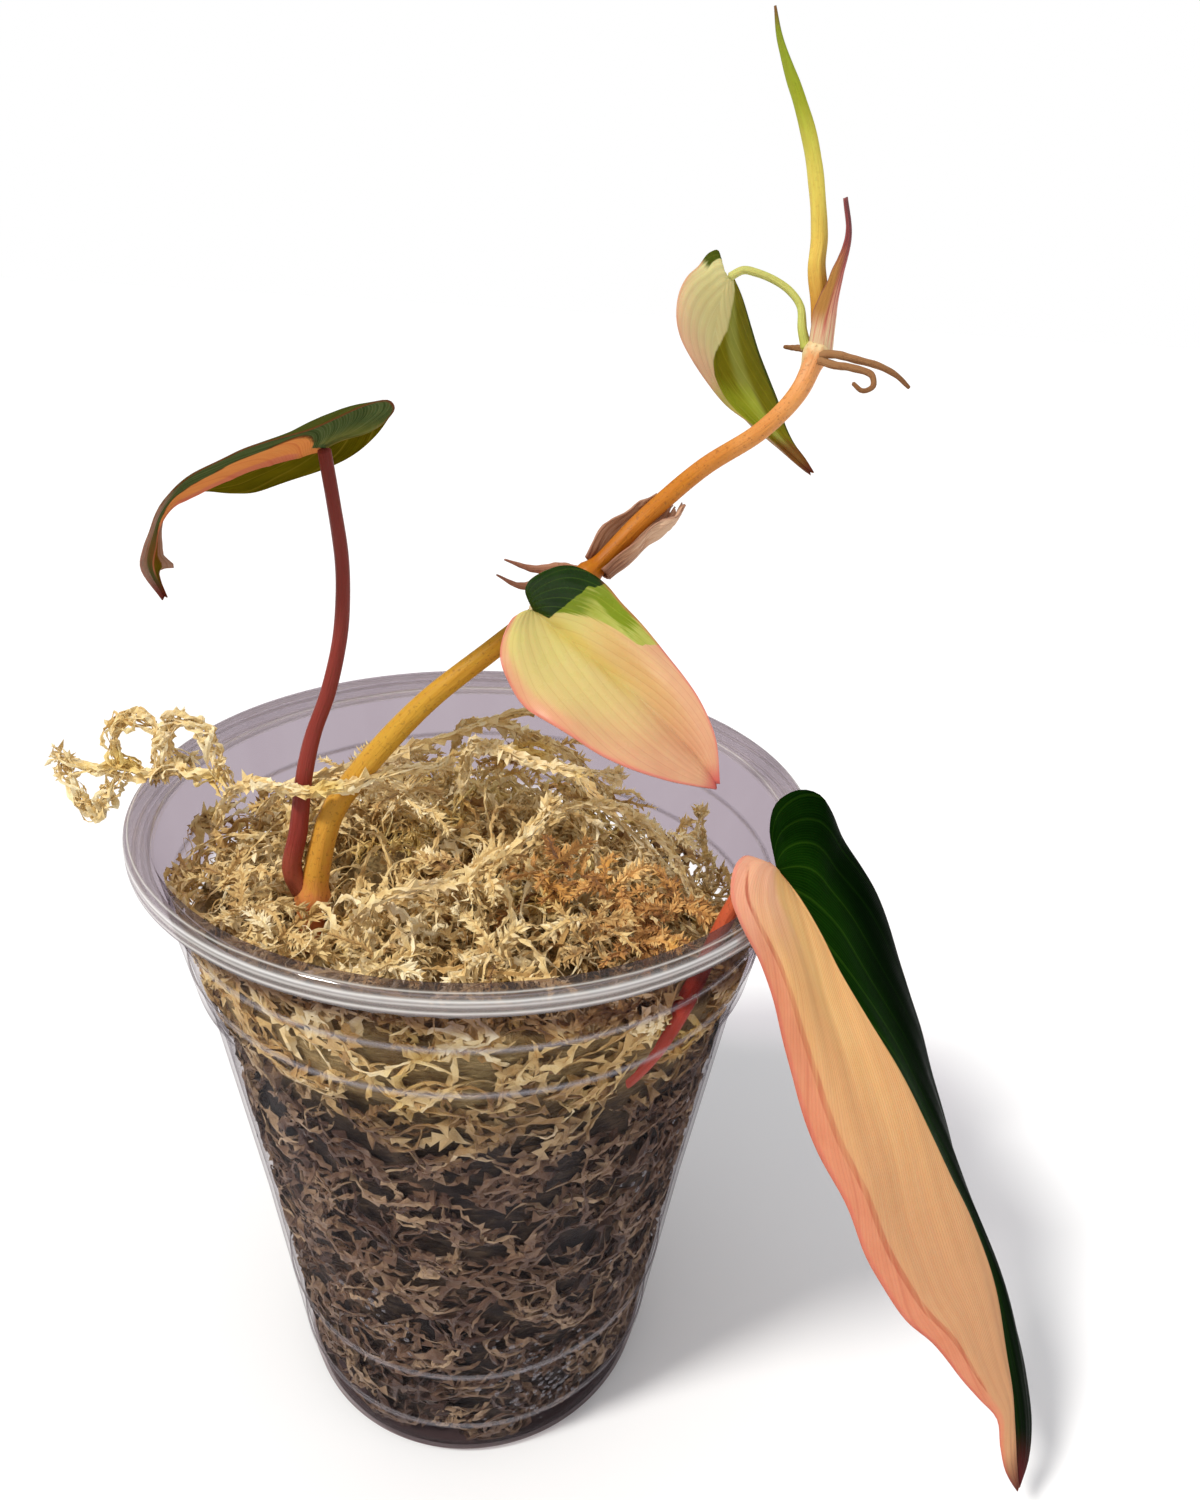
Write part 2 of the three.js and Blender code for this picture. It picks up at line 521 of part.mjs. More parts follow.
// Sprigs: seeded places on a sunflower spiral, some plain, some with pointed leaflets
function mossSprigs(draw) {
  const golden = Math.PI * (3 - Math.sqrt(5))
  const total = SPRIG_COUNT + LEAFY_COUNT
  const solids = []
  for (let k = 0; k < total; k++) {
    const reach = SPRIG_REACH * Math.sqrt((k + 0.5) / total)
    const place = k * golden
    const turn = 2 * Math.PI * draw()
    const bend = 1.6 * (draw() - 0.5)
    const length = THREE.MathUtils.lerp(SPRIG_LENGTH[0], SPRIG_LENGTH[1], draw())
    const lift = 2.6 + 5 * draw() * draw()
    const end = lift * (0.6 + 0.8 * draw())
    const [x0, y0] = [reach * Math.cos(place), reach * Math.sin(place)]
    const line = archedStrand(x0, y0, turn, bend, length, lift, end)
    solids.push(rod(line, [SPRIG_RADIUS, SPRIG_RADIUS, SPRIG_RADIUS * 0.7, 0.3], 3, 3))
    if (k % 3 !== 0 || k / 3 >= LEAFY_COUNT) continue
    const curve = smoothLine(line)
    for (let leaflet = 0; leaflet < LEAFLET.count; leaflet++) {
      const foot = curve.getPointAt(LEAFLET.first + LEAFLET.spacing * leaflet)
      const side = turn + bend + (leaflet % 2 ? 1 : -1) * (0.7 + 0.4 * draw())
      const way = new THREE.Vector3(Math.cos(side), Math.sin(side), 0).multiplyScalar(LEAFLET.reach)
      const tip = foot.clone().add(way.setZ(LEAFLET.rise * draw()))
      const limit = innerRadius(THREE.MathUtils.clamp(tip.z, 20, 106)) - CLEARANCE - 0.8
      if (Math.hypot(tip.x, tip.y) > limit) continue
      solids.push(rod([foot.toArray(), tip.toArray()], LEAFLET.radii, 3, 1))
    }
  }
  return solids
}

function stemSolid(extra = 0) {
  let solid = rod(STEM_LINE, STEM_RADII, 7, 30, extra)
  NODE_RINGS.forEach((ring) => {
    const knot = new THREE.SphereGeometry(ring.radius + extra, 9, 5).scale(1, 1, 0.62)
    solid = solid.add(toSolid(knot.translate(...ring.at)))
  })
  AERIAL_ROOTS.forEach((line) => {
    solid = solid.add(rod(line, AERIAL_RADIUS, 4, 7, extra))
  })
  BURIED_ROOTS.forEach((line) => {
    solid = solid.add(rod(line, ROOT_RADIUS, 4, 8, extra))
  })
  return solid
}

function stalkSolid(leaf, extra = 0) {
  return rod(leaf.stalk, leaf.stalkRadii, 6, 2 + leaf.stalk.length, extra)
}

// Leaf: blade, midrib on its underside and stalk in one solid, cut clear of the stem
function leafSolid(leaf, cutters) {
  const up = vector(leaf.up).normalize()
  const rib = leaf.mid.slice(0, -1).map((point) => vector(point).addScaledVector(up, -0.45).toArray())
  const ribSteps = Math.round(leaf.rows * 0.5)
  const whole = toSolid(bladeGeometry(leaf)).add(rod(rib, MIDRIB_RADIUS, 4, ribSteps)).add(stalkSolid(leaf))
  return largestBody(cutters.reduce((rest, cutter) => rest.subtract(cutter), whole))
}

function mossBedSolid(cutters) {
  const draw = seededDraws(MOSS_SEED)
  let bed = mossCore(draw)
  mossSprigs(draw).forEach((sprig) => {
    bed = bed.add(sprig)
  })
  BED_STRANDS.forEach((line) => {
    bed = bed.add(rod(line, BED_STRAND_RADII, STRAND_SIDES, STRAND_STEPS))
  })
  cutters.forEach((cutter) => {
    bed = bed.subtract(cutter)
  })
  return largestBody(bed)
}

function rimStrandSolids(extra = 0) {
  return RIM_STRANDS.map((line) => rod(line, RIM_STRAND_RADII, STRAND_SIDES, STRAND_STEPS, extra))
}

function dryPointsSolid() {
  const points = DRY_POINTS.map((line) => rod(line, DRY_POINT_RADII, 4, 5))
  return largestBody(points[0].add(points[1]).subtract(stemClearance))
}

const group = new THREE.Group()

function place(name, geometry, color, roughness, options = {}) {
  const material = new THREE.MeshStandardMaterial({ color, roughness, metalness: 0, ...options })
  const mesh = new THREE.Mesh(geometry, material)
  mesh.name = name
  group.add(mesh)
}

const stem = stemSolid()
const stemClearance = stemSolid(CLEARANCE)
const spear = rod(SPEAR_LINE, SPEAR_RADII, SPEAR_SIDES, SPEAR_STEPS)
const spearClearance = rod(SPEAR_LINE, SPEAR_RADII, SPEAR_SIDES, SPEAR_STEPS, CLEARANCE)
const stalkClearances = LEAVES.map((leaf) => stalkSolid(leaf, CLEARANCE))
const rimStrand = rimStrandSolids().reduce((all, one) => all.add(one))
const mossCutters = [stemClearance, ...stalkClearances, ...rimStrandSolids(CLEARANCE)]

place('cup', cupGeometry(), 0xdcdce4, 0.12, { transparent: true, opacity: 0.35 })
place('moss_bed', toGeometry(mossBedSolid(mossCutters)), 0xb89a66, 0.95)
place('moss_strand_rim', toGeometry(largestBody(rimStrand)), 0xc9ab78, 0.95)
place('vine_stem', toGeometry(largestBody(stem)), 0xd9a13c, 0.45)
LEAVES.forEach((leaf) => {
  const solid = leafSolid(leaf, [stemClearance, spearClearance])
  place(leaf.name, toGeometry(solid), leaf.color, 0.5)
})
place('new_leaf_spear', toGeometry(spear), 0xd6cf52, 0.45)
const sheathCutters = [stemClearance, spearClearance, ...stalkClearances]
for (const sheath of [UPPER_SHEATH, DRY_SHEATH]) {
  let solid = toSolid(sheathGeometry(sheath))
  sheathCutters.forEach((cutter) => {
    solid = solid.subtract(cutter)
  })
  place(sheath.name, toGeometry(largestBody(solid)), sheath.color, 0.7)
}
place('dry_points', toGeometry(dryPointsSolid()), 0x8a6a4a, 0.8)

export default group
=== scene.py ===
import math

import bpy
import numpy as np
from mathutils import Matrix


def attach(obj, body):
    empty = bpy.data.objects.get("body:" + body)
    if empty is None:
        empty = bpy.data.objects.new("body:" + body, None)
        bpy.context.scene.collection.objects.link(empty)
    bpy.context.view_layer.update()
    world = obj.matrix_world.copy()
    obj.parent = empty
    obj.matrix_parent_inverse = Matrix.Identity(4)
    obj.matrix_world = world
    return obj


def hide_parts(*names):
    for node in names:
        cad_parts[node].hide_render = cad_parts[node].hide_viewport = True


# A philodendron cutting in a clear cup of dried sphagnum moss.
# Lengths and places are typed in millimetres in the row frame and turned into metres when a mesh is made.

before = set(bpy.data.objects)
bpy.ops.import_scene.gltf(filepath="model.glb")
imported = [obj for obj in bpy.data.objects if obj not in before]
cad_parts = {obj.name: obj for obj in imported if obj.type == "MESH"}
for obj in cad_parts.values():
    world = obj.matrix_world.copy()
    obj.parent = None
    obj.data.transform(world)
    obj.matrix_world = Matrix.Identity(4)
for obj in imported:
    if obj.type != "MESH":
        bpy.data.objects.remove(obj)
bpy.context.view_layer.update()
MM = 0.001

# Driving dimensions of the cup
CUP_HEIGHT = 110
RIM_RADIUS = 49
WALL = 0.5
MOSS_WALL = 0.8
FLOOR = 1.0
BEAD_HEIGHT = 3.6
BEAD_REACH = 2.9
RING_DEPTH = 0.35
RIM_INSIDE = 46.1
WALL_PROFILE = np.array([
    [0, 29], [1.4, 30.7], [8, 31.9], [45, 36.1], [84, 41.3], [86.5, 42.7], [106.4, RIM_INSIDE],
])
RING_LINES = [9.2, 23.8, 90.5, 98.5]

# Lie of the moss surface; a hollow has its place, its depth and the square of its reach
MOSS_EDGE = 95.5
MOSS_TILT_FRONT = 6.5
MOSS_TILT_LEFT = 3.5
MOSS_CROWN = 105
MOSS_FLAT = 4
MOSS_WALL_REACH = 44
LEFT_SIDE = -62.6
STEM_HOLLOW = (-23, -17, 6, 40)
BACK_HOLLOW = (30, 14, 6.5, 340)
GOLDEN_TURN = math.pi * (3 - math.sqrt(5))

# Camera: where it stands, how it is turned, and its focal length in pixels of the 1200 x 1500 picture
CAMERA_PLACE = (0, -133.74, 177.97)
CAMERA_YAW, CAMERA_PITCH, CAMERA_ROLL = (math.radians(angle) for angle in (7.352, 24.771, 3.583))
FOCAL_PIXELS = 1000
PICTURE_HEIGHT = 1500
SENSOR = 36

# Vine stem from the buried end up to the top node
STEM_LINE = [
    [6, -12, 58], [-4, -13, 68], [-14, -14.5, 78], [-21, -16, 88], [-23, -17, 97], [-22.5, -17, 102],
    [-20, -14.5, 112.5], [-17, -13, 117], [-8, -11, 127], [2, -9, 135], [14, -5, 144], [20.5, -3, 150.5],
    [28.5, 0, 157], [36.5, 2, 162], [41.5, 4, 167], [44, 6, 172.5],
]
STEM_RADII = [1.5, 1.8, 1.9, 2.0, 2.0, 1.8, 1.65, 1.6, 1.5, 1.4, 1.3, 1.2, 1.2, 1.2, 1.2, 1.35]
NODE_SWELLINGS = [
    ([-14, -14.5, 78], 0.6), ([-22.6, -17, 101.5], 0.7), ([13.5, -5.2, 143.6], 0.6),
    ([43.7, 5.7, 171.5], 0.5),
]
AERIAL_ROOTS = [
    [[43.5, 5, 171.5], [45, 2, 171.8], [47, -1, 171.5], [49.5, -2, 171], [52, -2, 170], [54.5, -1, 168.5]],
    [[43.5, 5, 171], [44.6, 1, 170.6], [46, -3, 170.6], [47.8, -5, 170], [47.8, -6, 168.8],
     [46.4, -6.6, 168.2], [45.2, -6, 169]],
    [[44, 6, 171.8], [42.6, 9, 172], [41, 12, 172]],
]
BURIED_ROOTS = [
    [[4, -12.5, 60], [10, -20, 52], [14.5, -28, 44], [12, -28, 32], [4, -24, 22]],
    [[-10, -14, 74], [-14, -22, 62], [-8, -29, 50], [2, -30, 40]],
    [[-20, -15.5, 86], [-27, -8, 74], [-26, 6, 60], [-16, 14, 44]],
]

# Leaves: midrib and the two margins, from the notch at the stalk to the drip tip, and the stalk.
# up is where the upper face looks; arch, wave, quilt, lumps and curl are how strongly the blade is shaped,
# and vein_slope is how far the side veins run on before they reach the margin.
LEFT_LEAF = {
    "up": [-0.15, 0.42, 0.9],
    "arch": 0.05, "wave": 0.35, "vein_slope": 0.55, "quilt": 0.5, "lumps": 0.3, "curl": 0.0,
    "mid": [[-19.5, -4, 158.5], [-22.5, -4, 157.6], [-26.5, -4, 156.2], [-31, -4.5, 154.3],
            [-35, -5, 152.5], [-38.1, -5.2, 151], [-40.3, -4.9, 148.2], [-41.3, -4.2, 145.5],
            [-42.1, -3.4, 142.6], [-41.4, -2.2, 138]],
    "near": [[-19.2, -5.2, 158.4], [-16.5, -8.5, 159.9], [-13.2, -12, 161.6], [-10.8, -15.5, 163.2],
             [-9.8, -18, 164.6], [-10.4, -20, 165.7], [-12.6, -21, 165.5], [-15.4, -21.3, 164.4],
             [-18.8, -21, 162.6], [-23, -20, 160.8], [-27, -18, 159.3], [-32.7, -14.5, 156.6],
             [-36.9, -11.5, 152.7], [-38.6, -10, 150.6], [-40.1, -8.5, 148.2], [-41.8, -6.5, 145.7],
             [-43, -4.8, 142.6], [-41.6, -2.6, 137.9]],
    "far": [[-19.2, -2.4, 158.4], [-17.6, 2, 159.5], [-14.6, 6, 160.4], [-12.7, 9.5, 161],
            [-14.4, 12.5, 158.3], [-17.2, 14, 155.9], [-20.9, 14.3, 153.6], [-24.9, 14, 151.5],
            [-29.3, 13.5, 149.9], [-32.1, 12.5, 149.3], [-34.6, 10.5, 149.7], [-37, 6.5, 150.5],
            [-38.7, 1, 150.5], [-40, -1, 149.4], [-40.7, -2.2, 147], [-40.9, -2, 144.9], [-41, -1.8, 143.8],
            [-39.9, -1, 142], [-41.6, -1.9, 142], [-41.7, -1.8, 140], [-41.2, -1.7, 138]],
    "stalk": [[-24, -17, 102.5], [-25, -17, 106], [-24, -16, 111], [-23, -14, 118.5], [-22, -12, 123],
              [-20, -10, 128.5], [-18.5, -8, 135], [-18, -7, 140], [-18, -6, 145], [-18.8, -5, 152],
              [-19.7, -4, 158]],
    "stalk_radii": [1.35, 1.15, 1.0, 0.95, 0.9, 0.85],
}
MIDDLE_LEAF = {
    "up": [-0.2, -0.62, 0.75],
    "arch": 0.07, "wave": 0.3, "vein_slope": 0.95, "quilt": 0.2, "lumps": 0.55, "curl": 0.0,
    "mid": [[6, -13, 141], [7.8, -13.3, 139.6], [11.5, -14.6, 137], [15.5, -17, 134.2], [20, -20.2, 131.5],
            [24, -23.8, 128.4], [26.5, -26.8, 126.2], [28, -29, 124.5]],
    "near": [[5.2, -13.6, 140.9], [3.6, -15, 140.6], [2.2, -17, 138.6], [2, -19, 136.6], [3, -21, 134.3],
             [4.8, -23, 132.2], [7.5, -24.6, 130.8], [10.5, -26.4, 129.6], [14, -28.4, 128.2],
             [17.5, -29.8, 127], [21.5, -30.4, 126], [25, -30.2, 125.2], [27.8, -29.3, 124.3]],
    "far": [[6.2, -13, 141.8], [5, -14, 143.6], [5.4, -14.5, 145.2], [7.5, -14, 146.5], [10, -13, 146.7],
            [12.5, -12.5, 146], [15, -12.5, 144.6], [17.3, -13.5, 142.2], [20, -15, 139.6],
            [22.3, -17, 137.4], [24.5, -20, 135.2], [26.6, -23, 132.4], [27.9, -26, 129.4],
            [28.3, -28.8, 124.8]],
    "stalk": [[14, -5, 143.8], [11.5, -8, 142.6], [8.8, -10.4, 141.4], [6.2, -12.6, 140.8]],
    "stalk_radii": [1.15, 1.0, 0.9],
}
UPPER_LEAF = {
    "up": [-0.35, -0.85, 0.4],
    "arch": 0.1, "wave": 0.25, "vein_slope": 0.7, "quilt": 0.4, "lumps": 0.2, "curl": 0.0,
    "mid": [[32.5, 13, 180], [31.6, 12.6, 178], [31, 12, 174], [31.6, 12, 170], [33.6, 12.5, 166],
            [37.5, 13, 162], [42.5, 13, 158.5], [46, 12.5, 156], [47.5, 12, 155]],
    "near": [[31.8, 13.3, 180.6], [30.8, 13.8, 182], [30.8, 14, 183.4], [29.4, 13.5, 183],
             [28, 12.5, 181.4], [26.3, 11, 179.8], [25.1, 9.4, 177.5], [24.9, 8.6, 175], [25.6, 8.7, 172.8],
             [27.5, 9.2, 170], [30.2, 10.2, 167], [33.5, 11.2, 164], [37.5, 12, 161.6], [41.5, 12.3, 159],
             [44.6, 12.2, 156.6], [47.3, 11.9, 154.8]],
    "far": [[33.4, 13.8, 180], [35, 15.3, 178], [37, 16.8, 174.5], [39, 17.6, 170.7], [41, 17.8, 167.2],
            [42.6, 17.2, 164.2], [43.8, 16, 161], [45, 14.6, 158.8], [46.5, 13.2, 157],
            [47.8, 12.1, 155.2]],
    "stalk": [[42.6, 7, 172.2], [42, 7.9, 174.4], [41.8, 9.5, 177.2], [40.5, 11, 179], [38.5, 12, 180.2],
              [36, 12.7, 181], [34.3, 13.1, 181.2], [32.6, 13.2, 180.3]],
    "stalk_radii": [0.75, 0.5, 0.5, 0.55],
}
HANGING_LEAF = {
    "up": [0.6, -0.75, 0.3],
    "arch": 0.06, "wave": 0.5, "vein_slope": 0.62, "quilt": 0.35, "lumps": 0.9, "curl": 1.6,
    "mid": [[36.5, -30, 113.5], [39, -31.5, 110.5], [42.5, -33, 105.5], [45.4, -34, 100.5],
            [49.5, -35.4, 94], [54, -36.6, 87], [59, -37.8, 78.5], [64, -38.8, 70], [69.5, -39.8, 61],
            [75, -41, 49.5], [79, -42.8, 36.5], [82.3, -45, 23], [83.9, -46.4, 15], [84.9, -47.5, 9.8]],
    "near": [[35.3, -31.2, 114.2], [33, -33.6, 117.2], [31, -35.2, 118.4], [29.6, -37.4, 118],
             [29.3, -39.2, 115.6], [30.4, -40, 113], [32, -40, 110], [33.6, -39.6, 107], [35.6, -39.6, 102],
             [38, -39.8, 95], [40.7, -40.4, 88.5], [45.2, -42, 77], [49.5, -43, 68.8], [53.4, -44, 60.4],
             [57.4, -44.8, 53.9], [61.8, -45.4, 47.2], [65.9, -45.7, 43], [71.6, -46.2, 35.1],
             [75.1, -46.5, 30.8], [78.9, -46.8, 26.1], [80.7, -47.1, 19.5], [82.4, -47.4, 14],
             [84.7, -47.8, 9.6]],
    "far": [[36.7, -28.8, 114], [36, -26.5, 117], [36.6, -25, 119.8], [38.5, -24, 121],
            [40.6, -23.8, 121.5], [43, -24, 120.8], [44.8, -24.4, 118.6], [46.6, -25, 115],
            [49, -25.8, 111.5], [51.2, -26.6, 108], [55.5, -28.5, 99], [58, -29.3, 94], [60.6, -30.3, 88],
            [63, -31.5, 80], [66.2, -33, 71.5], [73, -35.6, 56], [77.6, -37.6, 46.5], [81.2, -39.8, 38],
            [84.2, -42, 29.5], [86.2, -44.2, 21], [86.3, -46, 14.5], [85.2, -47.4, 9.8]],
    "stalk": [[1, -13.5, 64.5], [8, -22, 70], [16, -29.5, 77], [21.4, -33, 86], [25, -32.8, 92.5],
              [27.6, -32.2, 99], [29.6, -31.4, 104.5], [31.4, -30.6, 108.6], [33.4, -30, 112],
              [36, -30, 113.4]],
    "stalk_radii": [0.9, 1.3, 1.45, 1.3, 1.1, 1.05],
}

# Rolled new leaf, sheaths and dry points at the nodes
SPEAR_LINE = [[44, 6.2, 174.4], [43.4, 6.6, 178], [42.5, 7, 182], [42.5, 7.5, 185.5], [41, 8, 193],
              [39.5, 8, 197], [38, 8, 200], [36, 8, 203.5], [34.5, 8, 206.5], [33.6, 8, 209.4]]
SPEAR_RADII = [1.15, 1.2, 1.15, 1.05, 1.0, 1.0, 0.9, 0.75, 0.45, 0.15]
UPPER_SHEATH = {
    "line": [[44.1, 5.9, 172], [44, 5.8, 177], [44.3, 5.2, 181.2], [44.9, 4.6, 185.6], [43.9, 4.2, 189.8]],
    "radii": [1.45, 1.5, 1.2, 0.8, 0.4],
    "middle": [0.8, -0.6, 0],
    "sweep": [150, 130, 90, 65, 55],
    "crumple": 0.05,
    "ragged": 0,
}
DRY_SHEATH = {
    "line": [[14.8, -4.8, 144.4], [17.6, -3.8, 147.4], [20.6, -2.8, 150.4], [24.8, -1.4, 154]],
    "radii": [2.2, 2.7, 2.7, 2.1],
    "crumple": 0.13,
    "middle": [0.65, 0.6, -0.45],
    "sweep": [128, 118, 98, 66],
    "ragged": 1.6,
}
DRY_POINTS = [
    [[12.6, -3.2, 143.4], [10, -4.6, 144.2], [6, -6.6, 144.6], [2.5, -8, 146]],
    [[10.2, -4.5, 144.1], [6.8, -7.4, 142.8], [4.4, -9.2, 143], [1.5, -10.2, 144.6]],
]

# Main strands of the moss bed, and the strand that lies over the left of the rim
BED_STRANDS = [
    [[-34, 2, 104], [-28, -1, 110], [-20, -2, 113], [-11, 1, 115], [-2, 3, 118], [9, 2, 121],
     [20, 0, 119]],
    [[-14, -4, 106], [-8, -3, 114], [2, -2, 116.5], [11, -4, 115], [18, -8, 110.5], [24, -12, 104]],
    [[-17, -29, 102], [-13, -31.5, 110], [-8, -32, 112.5], [-4, -30, 112], [3, -24, 112.5],
     [9.5, -18, 116.5]],
    [[-4, -2, 106], [-1, -5, 119], [3, -9, 119.5], [10, -13, 119], [18, -15, 119]],
    [[35, 0, 86], [36.2, 0, 95], [34, -1, 101], [33.2, -1, 106]],
    [[8, -6, 104], [13, -10, 111.5], [20, -13, 113], [25, -17, 109], [30, -19, 101]],
    [[-6, 14, 102], [-3, 12, 114], [4, 9, 115.5], [12, 7, 112.5], [20, 6, 105]],
    [[-30, 4, 98], [-27, 1, 108], [-20, 0, 111], [-13, -1, 109]],
    [[-37, -7, 107], [-34, -10, 113], [-30, -14, 117], [-25, -17, 118], [-21, -17, 117.5],
     [-16.5, -15.5, 117.5], [-11, -12, 118], [-5, -8, 117]],
]
RIM_STRANDS = [
    [[-34, -8, 112], [-36.2, -5, 113], [-39, -3, 113.2], [-43, -1, 112.2], [-48, 1, 111.2], [-52, 2, 111.1],
     [-56, 3, 110.9], [-59, 3.8, 111], [-60.8, 4, 112]],
    [[-36, -5, 113], [-37, -4, 117.5], [-39, -3, 120.5], [-42, -2, 121], [-44.4, -1, 118], [-44, 0, 114.4],
     [-42, -0.6, 112.8]],
    [[-49, 1.2, 111.3], [-52, 2, 113.2], [-52, 2, 117], [-49.5, 2, 119.5], [-46.6, 1.4, 118.6],
     [-45.6, 0.6, 115.6], [-46, 0.4, 111.7]],
    [[-52, 2, 111.1], [-54, 3, 107.4], [-57.5, 3, 103.2], [-59, 3.4, 106.6], [-60.4, 4, 111.2]],
]


# Curves and surfaces

def unit(vectors):
    """Vectors divided by their own lengths."""
    return vectors / np.maximum(np.linalg.norm(vectors, axis=-1, keepdims=True), 1e-9)


def smoothstep(values, low, high):
    """0 below low, 1 above high, and 3t^2 - 2t^3 between them."""
    t = np.clip((values - low) / (high - low), 0, 1)
    return t * t * (3 - 2 * t)


def line_points(points, shares):
    """Centripetal Catmull-Rom curve through the points, read at shares (0 to 1) of its length.

    Each span is the cubic through its two ends whose slopes come from the neighbouring points,
    with spans weighted by the square root of their lengths."""
    given = np.asarray(points, float)
    ends = np.vstack([2 * given[0] - given[1], given, 2 * given[-1] - given[-2]])
    gap = np.linalg.norm(np.diff(ends, axis=0), axis=1) ** 0.5
    place = np.linspace(0, len(given) - 1, 40 * len(given))
    span = np.minimum(place.astype(int), len(given) - 2)
    t = (place - span)[:, None]
    x0, x1, x2, x3 = (ends[span + step] for step in range(4))
    g0, g1, g2 = (gap[span + step][:, None] for step in range(3))
    slope1 = g1 * ((x1 - x0) / g0 - (x2 - x0) / (g0 + g1) + (x2 - x1) / g1)
    slope2 = g1 * ((x2 - x1) / g1 - (x3 - x1) / (g1 + g2) + (x3 - x2) / g2)
    dense = x1 + slope1 * t + (3 * (x2 - x1) - 2 * slope1 - slope2) * t**2
    dense += (2 * (x1 - x2) + slope1 + slope2) * t**3
    run = np.concatenate([[0], np.cumsum(np.linalg.norm(np.diff(dense, axis=0), axis=1))])
    wanted = np.clip(shares, 0, 1) * run[-1]
    return np.stack([np.interp(wanted, run, dense[:, axis]) for axis in range(3)], axis=-1)


def spread_values(values, shares):
    """Evenly spaced values, read at shares (0 to 1) of the list."""
    return np.interp(shares, np.linspace(0, 1, len(values)), values)


def least_spread(line):
    """The direction in which a line of points spreads least, as one unit vector."""
    return np.linalg.svd(line - line.mean(0))[2][-1]


def cross_directions(lines, ups):
    """Unit slope of each line, and two unit directions across it, the second one nearest to up."""
    along = unit(np.gradient(lines, axis=-2))
    side = unit(np.cross(along, ups))
    return along, side, np.cross(side, along)


def wrapped_faces(count, rows, sides):
    """Corner numbers for tubes of rows rings with sides points, each followed by a foot and a tip point."""
    block = rows * sides + 2
    start = (np.arange(count) * block)[:, None, None]
    row = (np.arange(rows - 1) * sides)[:, None]
    here = np.arange(sides)
    after = (here + 1) % sides
    corners = [row + here, row + sides + here, row + sides + after, row + after]
    quads = np.stack([start + corner for corner in corners], axis=-1).reshape(-1, 4)
    first = start[:, 0]
    last = first + (rows - 1) * sides
    ends = first + rows * sides
    foot = np.stack(np.broadcast_arrays(ends, first + here, first + after), -1)
    tip = np.stack(np.broadcast_arrays(ends + 1, last + after, last + here), -1)
    return [quads, foot.reshape(-1, 3), tip.reshape(-1, 3)]


def tubes(lines, radii, ups, sides, squeeze=1.0, relief=0.0, caps=0.6):
    """Tubes: at each point of each line a ring of sides points at radius (1 + relief), pressed by squeeze.

    The ends close to a point that stands out by caps times the end's radius.
    Returns points, faces and values per point: along is the share of the length, and skin has no seam."""
    count, rows = lines.shape[:2]
    along, side, over = cross_directions(lines, ups)
    turn = np.arange(sides) * 2 * math.pi / sides
    reach = (radii[..., None] * (1 + relief))[..., None]
    ring = np.cos(turn)[:, None] * side[:, :, None] + squeeze * np.sin(turn)[:, None] * over[:, :, None]
    rings = lines[:, :, None] + reach * ring
    foot = lines[:, 0] - along[:, 0] * radii[:, :1] * caps
    tip = lines[:, -1] + along[:, -1] * radii[:, -1:] * caps
    points = np.concatenate([rings.reshape(count, -1, 3), foot[:, None], tip[:, None]], axis=1)
    steps = np.linalg.norm(np.diff(lines, axis=1), axis=-1)
    run = np.concatenate([np.zeros((count, 1)), np.cumsum(steps, axis=1)], axis=1)
    share = np.repeat(run / run[:, -1:], sides, axis=1)
    share = np.concatenate([share, np.zeros((count, 1)), np.ones((count, 1))], axis=1)
    round_turn = np.concatenate([np.tile(turn, rows), [0, 0]])
    distance = np.concatenate([np.repeat(run, sides, axis=1), run[:, :1], run[:, -1:]], axis=1)
    skin = np.stack(np.broadcast_arrays(np.cos(round_turn), np.sin(round_turn), distance), axis=-1)
    fields = {"along": share.ravel(), "skin": skin.reshape(-1, 3)}
    return points.reshape(-1, 3), wrapped_faces(count, rows, sides), fields


def plate(grid, over, under):
    """Closed sheet on a grid: one face stands off by over along the grid's normals, the other by under.

    A strip of quads round the grid's edge joins the two faces."""
    rows, cols = grid.shape[:2]
    normal = unit(np.cross(np.gradient(grid, axis=1), np.gradient(grid, axis=0)))
    sheets = [grid + normal * over[..., None], grid - normal * under[..., None]]
    points = np.concatenate(sheets).reshape(-1, 3)
    layer = rows * cols
    corner = (np.arange(rows - 1)[:, None] * cols + np.arange(cols - 1)).ravel()
    top = np.stack([corner, corner + 1, corner + cols + 1, corner + cols], axis=-1)
    edge = np.concatenate([
        np.arange(cols - 1),
        np.arange(rows - 1) * cols + cols - 1,
        (rows - 1) * cols + np.arange(cols - 1, 0, -1),
        np.arange(rows - 1, 0, -1) * cols,
    ])
    following = np.roll(edge, -1)
    rim = np.stack([edge, layer + edge, layer + following, following], axis=-1)
    return points, [top, top[:, ::-1] + layer, rim]


def join(parts):
    """Several sets of points, faces and fields as one set."""
    offset = 0
    points, faces, fields = [], [], {}
    for part_points, part_faces, part_fields in parts:
        points.append(part_points)
        faces += [block + offset for block in part_faces]
        for key, values in part_fields.items():
            fields.setdefault(key, []).append(values)
        offset += len(part_points)
    return np.concatenate(points), faces, {key: np.concatenate(values) for key, values in fields.items()}


